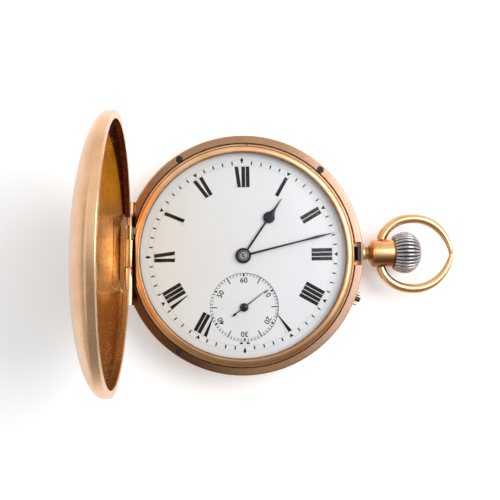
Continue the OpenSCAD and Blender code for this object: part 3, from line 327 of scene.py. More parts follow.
def gold(name, colour, shade, rough, edge=0.12, pits=0.0, grime_and_shade=None, scratch=0.0016, turned=False,
         tint=None, film=None):
    """Polished gold. `shade` is its darker tone, `grime_and_shade` a mask of where dirt and painted
    shade sit,
    `tint` a change of its colour from place to place, mostly painted light and shade, and `film` how
    much of the metal shows through its tarnish."""
    f = Finish(name)
    blotch = f.noise(5.5, 2)
    fine = f.noise(0.5, 4)
    if turned:
        hairs = lathe_marks(f)
    else:
        across = f.noise(0.22, 2, scale=(0.03, 1, 0.6), turn=(0.2, 0.3, 0.5))
        along = f.noise(0.35, 3, scale=(1, 0.04, 0.6), turn=(0.4, 0.2, -0.9))
        hairs = across * 0.4 + along * 0.6
    tone = f.mix(f.step(blotch, 0.35, 0.75), colour, shade)
    polish = rough + 0.10 * f.step(hairs, 0.45, 0.75) + 0.07 * f.step(blotch, 0.4, 0.8)
    brown = (0.16, 0.075, 0.03)
    if pits:
        specks = f.step(f.noise(0.42, 1, shift=(3, 1, 2)), 0.70, 0.78)
        tone = f.mix(specks * pits, tone, brown)
    if tint:
        tone = tint(f, tone)
    # Dirt, and shade painted into the hollows and grooves, turn the gold brown there.
    if grime_and_shade:
        dirt_and_shade = grime_and_shade(f) * f.step(fine, 0.25, 0.6, to=(0.55, 1))
        tone = f.mix(dirt_and_shade, tone, brown)
        polish = polish + dirt_and_shade * 0.3
    f.set(base_color=tone, metallic=film(f) if film else 1.0, roughness=polish,
          normal=f.bump(hairs * 0.7 + fine * 0.3, scratch, f.eased(edge)))
    return f.material


def bezel_grime_and_shade(f):
    """Dirt and painted shade in the groove between the bezel and the land, and along the glass."""
    x, y, z = axis_parts(f)
    r = far_from_axis(x, y)
    near, far = (bezel_out_r - 0.30, bezel_out_r + 0.02), (land_in_r + 0.02, land_in_r + 0.22)
    groove = f.between(r, near, far)
    seam = 1 - f.step(r, bezel_in_r + 0.05, bezel_in_r + 0.3)
    return (groove + 0.75 * seam) * f.step(z, 8.6, 9.2)


def pendant_grime_and_shade(f):
    """Dirt and painted shade in the neck of the pendant, under the lip of its collar."""
    return 0.8 * f.between(axis_parts(f)[0], (25.5, 25.8), (26.5, 26.9))


def pendant_painted_shade(f, tone):
    """Painted shade: the barrel is red-brown along its lower side."""
    x, y = axis_parts(f)[:2]
    lower_side = f.step(0 - y, 0.3, 1.5) * f.step(x, 26.4, 27.6)
    return f.mix(0.85 * lower_side, tone, (0.17, 0.045, 0.008))


def lid_painted_light(f, tone):
    """Painted light and shade inside the lid: painted shade dulls the amber towards six, and a painted
    orange sheen streaks it towards twelve. The thick rim is painted red-brown on its twelve o'clock
    side, as shade."""
    x, y = axis_parts(f)[:2]
    wall = f.step(x, hinge_x - 1.45, hinge_x - 1.15)
    rim_shade = f.step(y, 3, 9) * wall * f.step(f.noise(1.2, 3), 0.2, 0.5, to=(0.75, 1))
    tone = f.mix(0.6 * f.step(0 - y, 4, 10), tone, (0.56, 0.27, 0.06))
    streaks = f.step(f.noise(6, 4, 0.6, scale=(1, 0.3, 1)), 0.25, 0.75)
    orange = f.mix(streaks, (0.56, 0.19, 0.006), (0.86, 0.34, 0.02))
    tone = f.mix(f.step(y, -3, 15), tone, orange)
    return f.mix(rim_shade, tone, (0.11, 0.018, 0.006))


def lid_film(f):
    """The metal shows through the tarnish less on the twelve o'clock side."""
    return f.step(axis_parts(f)[1], -4, 14, to=(1, 0.55))


# Painted shade: the black put in the gap beside the hinge, on the band and the bezel.
hinge_gap_shade = (0.012, 0.005, 0.003)


def beside_hinge(f, y, near=8.2, far=9.6):
    """The stretch of the hinge, in the middle of the nine o'clock side."""
    return 1 - f.step(y.maths("ABSOLUTE"), near, far)


def band_wear_and_light(f, tone):
    """The land is brown, partly old wear and partly painted shade. Painted light makes it pale at the
    pendant side, and a painted shadow of the lid makes it dark at the lower left. The knuckles carry a
    pale painted highlight, with a black line of painted shade along them."""
    x, y, z = axis_parts(f)
    land = f.step(z, z_rim - 0.3, z_rim - 0.1)
    tone = f.mix(0.85 * land, tone, (0.36, 0.20, 0.11))
    tone = f.mix(f.step(x, 7, 23) * land, tone, (0.74, 0.47, 0.34))
    tone = f.mix(0.9 * f.step(0 - x - 0.6 * y, 10, 26) * land, tone, (0.10, 0.04, 0.015))
    knuckles = (1 - f.step(x, hinge_x + 0.35, hinge_x + 0.55)) * f.step(z, 8.9, 9.3)
    tone = f.mix(knuckles * beside_hinge(f, y, 10.4, 11.2), tone, (0.86, 0.60, 0.42))
    gap = f.between(x, (hinge_x + 0.45, hinge_x + 0.6), (hinge_x + 1.3, hinge_x + 1.6))
    return f.mix(gap * beside_hinge(f, y), tone, hinge_gap_shade)


def bezel_marks(f, x, y):
    """Two small marks at the top of the bezel: a pin's head with a bright middle, and a pit."""
    pin, pit = [far_from_axis(x - at_x, y - at_y) for at_x, at_y in ((1.1, 22.9), (6.6, 22.5))]
    return f.between(pin, (0.05, 0.16), (0.22, 0.30)) + (1 - f.step(pit, 0.12, 0.20))


def bezel_shade_and_marks(f, tone):
    """Painted shade makes the lower half of the bezel deeper and redder. A fine dark line runs round
    it, two marks sit at its top, and beside the hinge painted shade makes it black."""
    x, y = axis_parts(f)[:2]
    tone = f.mix(0.5 * f.step(0 - y - 0.3 * x, -2, 20), tone, (0.32, 0.13, 0.04))
    line = f.between(far_from_axis(x, y), (22.42, 22.52), (22.60, 22.70))
    tone = f.mix(0.75 * line, tone, (0.14, 0.055, 0.02))
    tone = f.mix(0.9 * bezel_marks(f, x, y), tone, (0.05, 0.025, 0.015))
    by_hinge = (1 - f.step(x, hinge_x + 1.25, hinge_x + 1.55)) * beside_hinge(f, y)
    return f.mix(by_hinge, tone, hinge_gap_shade)


case_gold = gold("case_gold", (0.90, 0.56, 0.32), (0.80, 0.44, 0.22), 0.20)
lid_gold = gold("lid_gold", (0.83, 0.515, 0.30), (0.75, 0.43, 0.225), 0.24, edge=0.05)
# The lid's inside is a darker, yellower copy of its gold: painted shade and warm interreflection.
lid_shaded_amber = gold("lid_shaded_amber", (0.66, 0.465, 0.25), (0.58, 0.37, 0.16), 0.22, edge=0.05, scratch=0.003,
                 tint=lid_painted_light, film=lid_film)
band_gold = gold("band_gold", (0.86, 0.53, 0.30), (0.72, 0.40, 0.20), 0.24, pits=0.8,
                 grime_and_shade=bezel_grime_and_shade, turned=True, tint=band_wear_and_light)
bezel_gold = gold("bezel_gold", (0.84, 0.51, 0.28), (0.70, 0.37, 0.17), 0.28, edge=0.05, pits=0.3,
                  grime_and_shade=bezel_grime_and_shade, turned=True, tint=bezel_shade_and_marks)
bow_gold = gold("bow_gold", (0.82, 0.485, 0.25), (0.70, 0.37, 0.165), 0.17, edge=0.05)
pendant_gold = gold("pendant_gold", (0.84, 0.48, 0.23), (0.70, 0.35, 0.14), 0.24, edge=0.06,
                    grime_and_shade=pendant_grime_and_shade, tint=pendant_painted_shade)
leaf_gold = gold("leaf_gold", (0.60, 0.38, 0.18), (0.44, 0.25, 0.10), 0.22, edge=0.05, pits=0.9)
inner_gold = gold("inner_gold", (0.86, 0.55, 0.24), (0.76, 0.44, 0.16), 0.16)
print("golds:", len([m for m in bpy.data.materials if m.name.endswith(("_gold", "_amber"))]))

# %% [markdown]
# ## Steel, enamel, glass and gilt brass
# Blued steel is bare steel heated until its skin turns dark blue. The crown was worn to grey, with dirt
# and painted shade between its ribs. Gilt plates have a fine frosted grain, not a polish. Enamel is
# glass on copper: even and glossy, with warm light painted on one side.

# %% Steels
def steel(name, colour, rough):
    """Worked steel with fine file marks."""
    f = Finish(name)
    marks = f.noise(0.12, 3, scale=(1, 0.6, 0.3))
    worn = f.noise(1.6, 3)
    dark = tuple(0.6 * c for c in colour)
    f.set(base_color=f.mix(f.step(worn, 0.4, 0.75), colour, dark), metallic=1.0,
          roughness=rough + 0.12 * marks, normal=f.bump(marks, 0.0015, f.eased(0.08)))
    return f.material


polished_steel = steel("polished_steel", (0.62, 0.61, 0.60), 0.18)
dark_steel = steel("dark_steel", (0.055, 0.05, 0.05), 0.32)
boss_steel = steel("boss_steel", (0.16, 0.16, 0.17), 0.30)
blued_screw = steel("blued_screw", (0.035, 0.05, 0.16), 0.18)


def blued():
    """Hands of blued steel, so dark that they read as black."""
    f = Finish("blued_steel")
    bloom = f.noise(1.2, 3)
    tone = f.mix(f.step(bloom, 0.35, 0.7), (0.010, 0.012, 0.022), (0.022, 0.022, 0.030))
    f.set(base_color=tone, metallic=0.6, roughness=0.26 + 0.12 * bloom,
          normal=f.bump(f.noise(0.2, 2), 0.001, f.eased(0.05)))
    return f.material


blued_steel = blued()

# %% Gilt brass, enamel, ruby and ink
def gilt():
    """Frosted gilding: a fine even grain on a yellow metal."""
    f = Finish("gilt_brass")
    frost = f.noise(0.05, 2)
    cloud = f.noise(4, 3)
    tone = f.mix(f.step(cloud, 0.35, 0.75), (0.86, 0.64, 0.28), (0.74, 0.50, 0.20))
    f.set(base_color=tone, metallic=1.0, roughness=0.34 + 0.12 * frost,
          normal=f.bump(frost, 0.004, f.eased(0.06)))
    return f.material


def fired_enamel():
    """White enamel: warm light painted on its left side, the faintest orange-peel, and a clear
    coat.
    """
    f = Finish("enamel")
    # Painted light: the left side is warmer, the right side cooler.
    side = f.step(axis_parts(f)[0] + 5 * f.noise(7, 2), -22, 10)
    f.set(base_color=f.mix(side, (0.745, 0.75, 0.735), (0.745, 0.755, 0.795)), roughness=0.38,
          coat_weight=0.3, coat_roughness=0.12, normal=f.bump(f.noise(1.3, 2), 0.002))
    return f.material


def ruby_red():
    """Watch jewels: a clear red stone over a bright setting."""
    f = Finish("ruby")
    f.set(base_color=f.mix(f.noise(0.5, 2), (0.55, 0.02, 0.07), (0.75, 0.05, 0.14)), roughness=0.08,
          coat_weight=1.0, normal=f.eased(0.05))
    return f.material


def black_ink():
    """Ink fired into the enamel, a little uneven in its black."""
    f = Finish("dial_ink")
    tone = f.mix(f.noise(0.25, 3), (0.004, 0.004, 0.005), (0.014, 0.013, 0.014))
    f.set(base_color=tone, roughness=0.38, specular_ior_level=0.2)
    return f.material


gilt_brass, enamel, ruby, ink = gilt(), fired_enamel(), ruby_red(), black_ink()

# %% Glass that is seen through
def clear_glass():
    """A thin glass passes light straight on and mirrors a little, more at its edge."""
    f = Finish("glass")
    f.tree.nodes.remove(f.shader)
    fresnel = f.node("ShaderNodeFresnel", {}, {"IOR": 1.45})
    seen = f.node("ShaderNodeBsdfTransparent", {}, {"Color": (0.985, 0.99, 0.988, 1)})
    gloss = f.node("ShaderNodeBsdfGlossy", {}, {"Roughness": 0.09})
    smear = f.step(f.noise(9, 3), 0.4, 0.8, to=(0.15, 0.21))
    both = f.node("ShaderNodeMixShader", {}, {0: fresnel * smear, 1: seen, 2: gloss})
    f.feed(f.output.inputs[0], both)
    return f.material


glass = clear_glass()
print("materials:", len(bpy.data.materials))

# %% [markdown]
# Each solid keeps its mesh and gets its finish in its own material slots. Pieces that are shown in a
# finer form further down hide their solid.

# %% Finishes for the solids that stay
by_finish = {
    case_gold: "back_cover front_hinge_pin back_hinge_pin dust_cover_hinge_pin front_lid bezel",
    band_gold: "case_band",
    inner_gold: "dust_cover",
    bow_gold: "bow",
    pendant_gold: "pendant",
    glass: "crystal",
    dark_steel: "rim_screws lock_spring set_pin",
    polished_steel: "lift_spring case_screws push_sleeve winding_stem cannon_pinion winding_pinion "
                    "crown_wheel ratchet_wheel barrel_arbor mainspring escape_wheel pallet_lever "
                    "balance_staff regulator click click_spring crown",
    blued_steel: "minute_hand hour_hand seconds_hand",
    blued_screw: "plate_screws balance_spring cock_screws click_screws bridge_screws",
    enamel: "dial",
    gilt_brass: "hour_wheel minute_wheel pillar_plate three_quarter_plate pillars crown_wheel_bridge "
                "barrel_drum barrel_cover centre_wheel third_wheel fourth_wheel pallet_cock "
                "balance_wheel balance_cock",
    ruby: "jewels",
}
dressed = 0
for finish, names in by_finish.items():
    for name in names.split():
        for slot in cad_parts[name].material_slots:
            slot.material = finish
        dressed += 1
print("solids with a finish:", dressed, "of", len(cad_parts))

# %% [markdown]
# ## The front lid
# The lid is one pressed and turned shell: a dome, a steep side, and a thick rim that the catch holds.
# It is drawn shut, as its maker turned it, then cut away for the hinge and the catch, and swung open.

# %% Cutting one shape out of another
def bar(x0, x1, y0, y1, z0, z1):
    """A plain box between two corners, as a tool that cuts."""
    x, y, z = np.meshgrid([x0, x1], [y0, y1], [z0, z1], indexing="ij")
    points = np.stack([x, y, z], -1).reshape(-1, 3)
    faces = [[0, 1, 3, 2], [4, 6, 7, 5], [0, 4, 5, 1], [2, 3, 7, 6], [0, 2, 6, 4], [1, 5, 7, 3]]
    return mesh_from("bar", points, np.array(faces))


def rod(x, z, r, y0, y1, sides=64, ease=0.0):
    """A round rod along Y through (x, z)."""
    line = [(0, y0), (r, y0), (r, y1), (0, y1)]
    if ease:
        line = rounded(line, [0, ease, ease, 0], 4)
    return turned("rod", line, sides, "y", (x, 0, z), closed=False)


def carved(thing, *tools, sharp=35):
    """Cuts the tools out of the object, one after another, and keeps the result as a plain mesh."""
    cutters = [piece("cutter", tool) for tool in tools]
    for cutter in cutters:
        cut = thing.modifiers.new("cut", "BOOLEAN")
        cut.object, cut.operation, cut.solver = cutter, "DIFFERENCE", "EXACT"
    graph = bpy.context.evaluated_depsgraph_get()
    result = bpy.data.meshes.new_from_object(thing.evaluated_get(graph))
    thing.modifiers.clear()
    old = thing.data
    thing.data = result
    bpy.data.meshes.remove(old)
    for cutter in cutters:
        bpy.data.objects.remove(cutter)
    result.shade_smooth()
    result.set_sharp_from_angle(angle=math.radians(sharp))
    print(f"{thing.name}: {len(result.polygons)} faces after the cuts")
    return thing


def dress(thing, body, finish, slot, *nodes):
    """Gives a piece its finish and its body, and hides the solids that it stands for."""
    thing.data.materials.clear()
    thing.data.materials.append(finish)
    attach(thing, body)
    if nodes:
        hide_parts(*nodes)


# %% [markdown]
# A cover must clear the band's knuckles while it swings, so it is cut back within `swing_r` of the
# hinge line. Beyond `hinge_out` everything is filed flat, and `well_out` is a place outside the case.

# %% The lid's outline
lid_step = z_lid + 1.2
lid_r, lid_in_r, lid_in_h = case_r - 0.02, 24.5, 4.67
hinge_in, hinge_out, swing_r, well_out = hinge_x + 1.1, hinge_x - 1.1, 1.05, -27


def bowl(r, h, steps=56, from_r=0.0):
    """A shell of radius from_r + (r - from_r) sin(a)^0.77 and height h cos(a)^1.11, for a from 0 to
    90 degrees. At a = 0 it is at its top, in the middle."""
    a = np.linspace(0, np.pi / 2, steps)
    return np.c_[from_r + (r - from_r) * np.sin(a) ** 0.77, h * np.cos(a).clip(0) ** 1.11]


def lid_outline():
    """From the thick rim up the outside to the crown of the dome, and back down the inside."""
    rim = rounded([(23.5, z_lid), (lid_r, z_lid), (lid_r, lid_step + 0.05), (lid_in_r, lid_step - 0.1),
                   (23.5, lid_step - 0.15)], [0.12, 0.2, 0.01, 0.1, 0.2], 6)
    outside = bowl(lid_r, 5.17) + [0, lid_step]
    inside = bowl(lid_in_r, lid_in_h) + [0, lid_step]
    return np.concatenate([rim[:14], outside[::-1], inside[:-1], rim[21:]])


def swung(thing):
    """Opens a mesh that was drawn with the lid shut: it turns round the hinge's line along Y."""
    there = Matrix.Translation((hinge_x * MM, 0, hinge_z * MM))
    thing.data.transform(there @ Matrix.Rotation(math.radians(-lid_open), 4, "Y") @ there.inverted())


def hinge_side(*things):
    """Turns finished meshes about the case axis, to where the hinge sits just past nine o'clock."""
    for thing in things:
        thing.data.transform(Matrix.Rotation(math.radians(hinge_turn), 4, "Z"))


def on_case(mesh):
    """Turns a tool the other way, so that it cuts where the case has the part and not the hinge."""
    mesh.transform(Matrix.Rotation(math.radians(-hinge_turn), 4, "Z"))
    return mesh


# %% The lid, its leaf and its knuckle
def leaf_outline(half, inner_x):
    """The leaf follows the round of the case, and is filed flat outside the hinge."""
    y = np.linspace(-half, half, 41)
    outer = np.c_[np.maximum(-np.sqrt((case_r - 0.03) ** 2 - y ** 2), hinge_out), y]
    return np.r_[outer[::-1], [[inner_x, -half], [inner_x, half]]]


def lined(thing, finish, heart):
    """Faces inside the wall that look towards the point `heart` get a second finish: with a face's
    middle c and its normal n, (c - heart) . n < 0."""
    count = len(thing.data.polygons)
    centre, normal = np.zeros(count * 3), np.zeros(count * 3)
    thing.data.polygons.foreach_get("center", centre)
    thing.data.polygons.foreach_get("normal", normal)
    centre, normal = centre.reshape(-1, 3) / MM, normal.reshape(-1, 3)
    inward = ((centre - heart) * normal).sum(1) < 0
    inward &= np.hypot(centre[:, 0], centre[:, 1]) < lid_in_r + 0.1
    thing.data.materials.append(finish)
    thing.data.polygons.foreach_set("material_index", inward.astype(np.int32))
    print(f"{thing.name}: {inward.sum()} faces on the inside")


lid = piece("hunter_lid", turned("lid_shell", lid_outline(), 240))
lid = carved(lid, bar(well_out, hinge_in, -10.8, 10.8, 9, hinge_z + swing_r),
             bar(well_out, hinge_out, -26, 26, 8.9, hinge_z + swing_r + 0.9),
             on_case(bar(22.8, 24.15, -2, 2, 9, z_lid + 0.95)),
             on_case(bar(22.85, 24.5, -1.95, 1.95, z_lid + 0.22, z_lid + 0.9)))
leaf = piece("lid_leaf", slab("leaf", leaf_outline(8, hinge_x + 0.3), 11.15, 12.05, 0.06),
             bar(hinge_x - 0.88, hinge_x + 0.28, -2.85, 2.85, 10.1, 11.2),
             rod(hinge_x, hinge_z, 0.9, -2.88, 2.88, 64, 0.12))
for part, finish in ((lid, lid_gold), (leaf, leaf_gold)):
    dress(part, "front_lid", finish, "case_gold", "front_lid")
lined(lid, lid_shaded_amber, (0, 0, z_lid + 0.5))


# %% The plate soldered inside the lid over its leaf
def segment(name, outline, start, end, steps=40):
    """A closed outline (r, h) carried round the Z axis from one angle to another. Both ends close on
    the outline's middle: the first and last ring have no size."""
    p = np.asarray(outline, float)
    a = np.radians(np.r_[start, np.linspace(start, end, steps), end])[:, None]
    size = np.r_[0, np.ones(steps), 0][:, None]
    r, h = [p[:, i].mean() + size * (p[:, i] - p[:, i].mean()) for i in (0, 1)]
    points = np.stack([r * np.cos(a), r * np.sin(a), h], -1)
    return mesh_from(name, points.reshape(-1, 3), grid_faces(len(a), len(p), False, True))


wall = (bowl(lid_in_r, lid_in_h) + [0, lid_step])[:-1][::-1]
wall = wall[wall[:, 1] < z_lid + 3.3]
plate_line = np.concatenate([wall - [0.16, 0.0], wall[::-1] + [0.05, 0.0]])
lid_plate = piece("lid_plate", segment("plate", plate_line, 180 - 19, 180 + 19))
dress(lid_plate, "front_lid", leaf_gold, "case_gold")
for part in (lid, leaf, lid_plate):
    swung(part)
hinge_side(lid, leaf, lid_plate)

# %% [markdown]
# ## Back cover
# The back cover is the same kind of shell, with a flat middle to stand on. The dust cover inside it
# keeps the mesh of its solid.

# %% The back cover and its leaf
def back_outline():
    """Out from the middle along the outside, over the rim, and back along the inside."""
    rim, rim_in_r = z_back - 0.05, land_in_r + 0.1
    low = rim - 0.85
    outside = bowl(lid_r, low, 48, 10) * [1, -1] + [0, low]
    inside = bowl(lid_in_r, low - 0.5, 48, 10) * [1, -1] + [0, low]
    edge = rounded([(lid_r, low), (lid_r, rim), (rim_in_r, rim), (rim_in_r, low), (lid_in_r, low)],
                   [0.0, 0.2, 0.1, 0.1, 0.0], 5)
    return np.concatenate([[(0, 0)], outside, edge[6:24], inside[::-1], [(0, 0.5)]])


back = piece("back_shell", turned("back_shell", back_outline(), 240, closed=False))
back = carved(back, bar(well_out, hinge_x + swing_r + 0.1, -8.2, 8.2, z_back - swing_r, 6),
              bar(well_out, hinge_out, -26, 26, z_back - swing_r - 0.9, 6))
dress(back, "back_cover", lid_gold, "case_gold", "back_cover")
back_leaf = piece("back_leaf", slab("leaf", leaf_outline(7.5, hinge_x + 0.9), 2.25, 3.15),
                  bar(hinge_x - 0.88, hinge_x + 0.28, -2.55, 2.55, 3.1, 4.2),
                  rod(hinge_x, z_back, 0.9, -2.58, 2.58, 64, 0.12))
dress(back_leaf, "back_cover", case_gold, "case_gold", "back_cover")
hinge_side(back, back_leaf)

# %% [markdown]
# ## Bezel and glass
# The bezel is a turned ring with a raised bead, a fine groove and a soft outer slope. It grips a thin
# domed glass, a slice of a large ball.

# %% The ring and its glass
bezel_corners = [
    (21.3, 9.64), (22.78, 9.64), (22.78, 10.12), (23.02, 10.26), (23.02, 10.62), (22.86, 10.95),
    (22.62, 11.08), (22.5, 11.0), (22.42, 11.16), (22.1, 11.34), (21.75, 11.39), (21.45, 11.37),
    (21.34, 11.1), (21.3, 10.6)]
bezel_easing = [0.05, 0.05, 0.08, 0.1, 0.15, 0.12, 0.06, 0.04, 0.06, 0.15, 0.15, 0.08, 0.1, 0.05]
bezel = piece("bezel_ring", turned("bezel", rounded(bezel_corners, bezel_easing, 5), 360))
flat = bar(-26, hinge_in, -26, 26, 9, 12)
flat.transform(Matrix.Rotation(math.radians(hinge_turn), 4, "Z"))
bezel = carved(bezel, flat)
dress(bezel, "case", bezel_gold, "case_gold", "bezel")

glass_top, glass_rise, glass_thick = 12.8, 1.8, 0.5
ball_r = (bezel_in_r ** 2 + glass_rise ** 2) / (2 * glass_rise)
reach = np.linspace(0, bezel_in_r, 40)
dome = glass_top - ball_r + np.sqrt(ball_r ** 2 - reach ** 2)
foot = [[21.6, 11.0], [21.6, 10.5]]
glass_line = np.r_[np.c_[reach, dome], foot, np.c_[reach, dome - glass_thick][::-1]]
crystal = piece("watch_glass", turned("glass", glass_line, 192, closed=False))
dress(crystal, "case", glass, "glass", "crystal")

# %% [markdown]
# ## Pendant, bow and crown
# The pendant is turned: a thin neck on a collar, a cone, and a barrel whose mouth takes the crown. The
# bow is one drawn wire, thick at its sides and fine at its tip. The crown is a ball cut with ribs.

# %% The pendant
pendant_corners = [
    (0.9, 25.0), (2.05, 25.0), (2.14, 25.3), (1.98, 25.72), (1.42, 25.82), (1.3, 26.1), (1.3, 26.5),
    (1.62, 26.7), (2.55, 27.22), (2.78, 27.32), (2.72, 27.44), (2.9, 27.55), (2.9, 32.0), (2.86, 32.3),
    (2.72, 32.42), (2.5, 32.4), (2.48, 30.9), (0.9, 30.9)]
pendant_easing = [
    0, 0.05, 0.15, 0.12, 0.1, 0.15, 0.15, 0.3, 0.08, 0.06, 0.05, 0.06, 0.2, 0.1, 0.08, 0.06, 0.1, 0]
pendant_line = rounded(pendant_corners, pendant_easing, 5)
pendant = piece("pendant_turned", turned("pendant", pendant_line, 192, "x", (0, 0, stem_z)))
dress(pendant, "case", pendant_gold, "rose_gold", "pendant")

# %% A wire along a path
def bezier(p, steps):
    """The curve (1-t)^3 p0 + 3 t (1-t)^2 p1 + 3 t^2 (1-t) p2 + t^3 p3."""
    t = np.linspace(0, 1, steps)[:, None]
    p0, p1, p2, p3 = np.asarray(p, float)
    return (1 - t) ** 3 * p0 + 3 * t * (1 - t) ** 2 * p1 + 3 * t ** 2 * (1 - t) * p2 + t ** 3 * p3


def wire(name, path, radius, sides=32, ease=0.12):
    """A round section carried along a flat path (x, y) at the height of the stem, with v the angle in
    the section: point = path + radius cos(v) sideways + radius sin(v) up. Both ends close, eased."""
    ahead = np.gradient(path, axis=0)
    ahead /= np.linalg.norm(ahead, axis=1)[:, None]
    back = np.array([1.0, 1.0, 0.3])[:, None] * ease
    path = np.concatenate([path[:1] - ahead[:1] * back, path, path[-1:] + ahead[-1:] * back[::-1]])
    first, last = radius[0], radius[-1]
    radius = np.r_[1e-4, first - ease, first - 0.3 * ease, radius, last - 0.3 * ease, last - ease, 1e-4]
    ahead = np.concatenate([ahead[:1].repeat(3, 0), ahead, ahead[-1:].repeat(3, 0)])
    sideways = np.c_[-ahead[:, 1], ahead[:, 0]]
    v = np.linspace(0, 2 * np.pi, sides, endpoint=False)
    flat = path[:, None] + sideways[:, None] * (radius[:, None] * np.cos(v))[..., None]
    up = stem_z + radius[:, None] * np.sin(v)
    points = np.concatenate([flat, up[..., None]], -1)
    return mesh_from(name, points.reshape(-1, 3), grid_faces(len(path), sides, False, True))


# %% The bow
bow_x, foot_y, side_y, wide_x, tip_x = 29.32, 3.02, 7.45, 36.14, 44.34
thick_foot, thick_tip = 2.0, 0.9
wide = (wide_x, side_y)
low = bezier([(bow_x, foot_y), (bow_x + 0.5, foot_y + 1.9), (bow_x + 2.6, side_y), wide], 40)
high = bezier([wide, (wide_x + 4.92, side_y), (tip_x - 0.45, 3.35), (tip_x, 0)], 60)
half_path = np.concatenate([low[:-1], high])
share = np.r_[np.zeros(len(low) - 1), np.linspace(0, 1, len(high))]
half_radius = (thick_foot - (thick_foot - thick_tip) * share ** 2.2) / 2
bow_path = np.concatenate([half_path * [1, -1], half_path[-2::-1]])
slack = math.radians(2)
from_pivot = bow_path - [bow_x, 0]
bow_path = np.c_[from_pivot @ [math.cos(slack), math.sin(slack)] + bow_x,
                 from_pivot @ [-math.sin(slack), math.cos(slack)]]
bow_wire = wire("bow_wire", bow_path, np.r_[half_radius, half_radius[-2::-1]])
pivots = [rod(bow_x, stem_z, 0.6, *ends, 32) for ends in ((1.75, 3.2), (-3.2, -1.75))]
bow = piece("bow_wire", bow_wire, *pivots)
dress(bow, "bow", bow_gold, "rose_gold", "bow")

# %% The crown, a ribbed ball
crown_mid, crown_r, ribs, rib_depth = 34.406, 4.4, 32, 0.30


def ribbed_ball(sides=ribs * 16, steps=44):
    """The ball's radius is crown_r cos(b). Between two ribs it loses depth ((1 + cos(ribs a)) / 2)^2.2,
    where a is the angle round the axis. The depth fades out towards both ends."""
    b = np.radians(np.linspace(-37, 80, steps))
    ball = np.c_[crown_r * np.cos(b), crown_mid + np.where(b < 0, 4.2, 3.45) * np.sin(b)]
    fade = np.clip((b + 0.72) / 0.22, 0, 1) * np.clip((1.32 - b) / 0.3, 0, 1)
    skirt = [(0, 32.15), (2.1, 32.15), (2.1, 33.0), (3.06, 33.0), (3.06, 31.92), (3.16, 31.84),
             (3.34, 31.83)]
    cap = [(0.55, 37.80), (0.42, 37.74), (0.3, 37.76), (0, 37.78)]
    line = np.concatenate([skirt, ball, cap])
    depth = np.r_[np.zeros(len(skirt)), rib_depth * fade, np.zeros(len(cap))]
    a = np.linspace(0, 2 * np.pi, sides, endpoint=False)[:, None]
    r = line[:, 0] - depth * ((1 + np.cos(ribs * a)) / 2) ** 2.2
    points = np.stack([line[:, 1] + 0 * a, r * np.cos(a), r * np.sin(a)], -1) + [0, 0, stem_z]
    return mesh_from("crown", points.reshape(-1, 3), grid_faces(sides, len(line), True, False))


def crown_finish():
    """Grey worn steel: bright on the ribs, black with dirt and painted shade in the grooves between
    them.
    """
    f = Finish("crown_steel")
    x, y, z = axis_parts(f)
    turn = y.maths("ARCTAN2", z - stem_z)
    groove = (ribs * (math.pi / 2 - turn)).maths("COSINE")
    speck = f.noise(0.35, 3)
    # Dirt and painted shade darken the grooves between the ribs.
    dirt_and_shade = f.step(groove + 0.5 * speck, 0.25, 1.05) * (1 - f.step(x, 37.0, 37.6))
    bright = f.mix(f.step(speck, 0.35, 0.7), (0.50, 0.47, 0.47), (0.36, 0.33, 0.34))
    f.set(base_color=f.mix(dirt_and_shade, bright, (0.035, 0.028, 0.028)), metallic=1 - 0.5 * dirt_and_shade,
          roughness=0.24 + 0.3 * dirt_and_shade, normal=f.bump(f.noise(0.14, 3), 0.004))
    return f.material


crown = piece("crown_ball", ribbed_ball(), sharp=50)
dress(crown, "crown", crown_finish(), "crown_steel", "crown")

# %% [markdown]
# ## Hands
# A hand is cut from thin steel and its top is filed to a soft ridge. Its half-width is a function of
# the distance along it, so the spade of the hour hand is a circle that draws in to a needle.

# %% A blade along its own length
def blade(name, s, half, z, thick, angle, centre=(0, 0)):
    """Stations s along the hand with half-width `half`. The section is six points, (-1, 0), (-1, 0.5),
    (-0.5, 1), (0.5, 1), (1, 0.5) and (1, 0), times half-width and thickness. Angle is past twelve."""
    section = np.array([(-1, 0), (-1, 0.5), (-0.5, 1), (0.5, 1), (1, 0.5), (1, 0)])
    across = half[:, None] * section[:, 0]
    up = z + thick * section[:, 1] + 0 * across
    a = math.radians(angle)
    x = centre[0] + s[:, None] * math.sin(a) + across * math.cos(a)
    y = centre[1] + s[:, None] * math.cos(a) - across * math.sin(a)
    return mesh_from(name, np.stack([x, y, up], -1).reshape(-1, 3), grid_faces(len(s), 6, False, True))


def capped(half):
    """Both ends of a blade come to a point."""
    half[[0, -1]] = 1e-4
    return half


# %% Hour hand: a spade that draws in to a needle
hour_len, minute_len, seconds_len, tail = 14.3, 19.5, 6.2, -3.15
hour_z, minute_z, seconds_z = 9.8, 10.3, 9.5
s = np.linspace(1.3, hour_len, 160)
stem = np.interp(s, [1.3, 12.0, hour_len], [0.20, 0.18, 0.06])
spade = np.sqrt(np.clip(1.20 ** 2 - (s - 9.55) ** 2, 0, None))
flare = np.where(s > 9.9, 1.09 * np.exp(-np.clip(s - 9.9, 0, None) ** 1.25 / 1.25), 0)
half = capped(np.maximum.reduce([stem, spade, flare]))
hub = [(1.1, hour_z), (1.6, hour_z), (1.6, 10.0), (1.1, 10.0)]
hour = piece("hour_blade", blade("hour", s, half, hour_z, 0.2, 34.9),
             turned("hour_hub", rounded(hub, [0, 0, 0.07, 0.05], 4), 64))
dress(hour, "hour_hand", blued_steel, "blued_steel", "hour_hand")

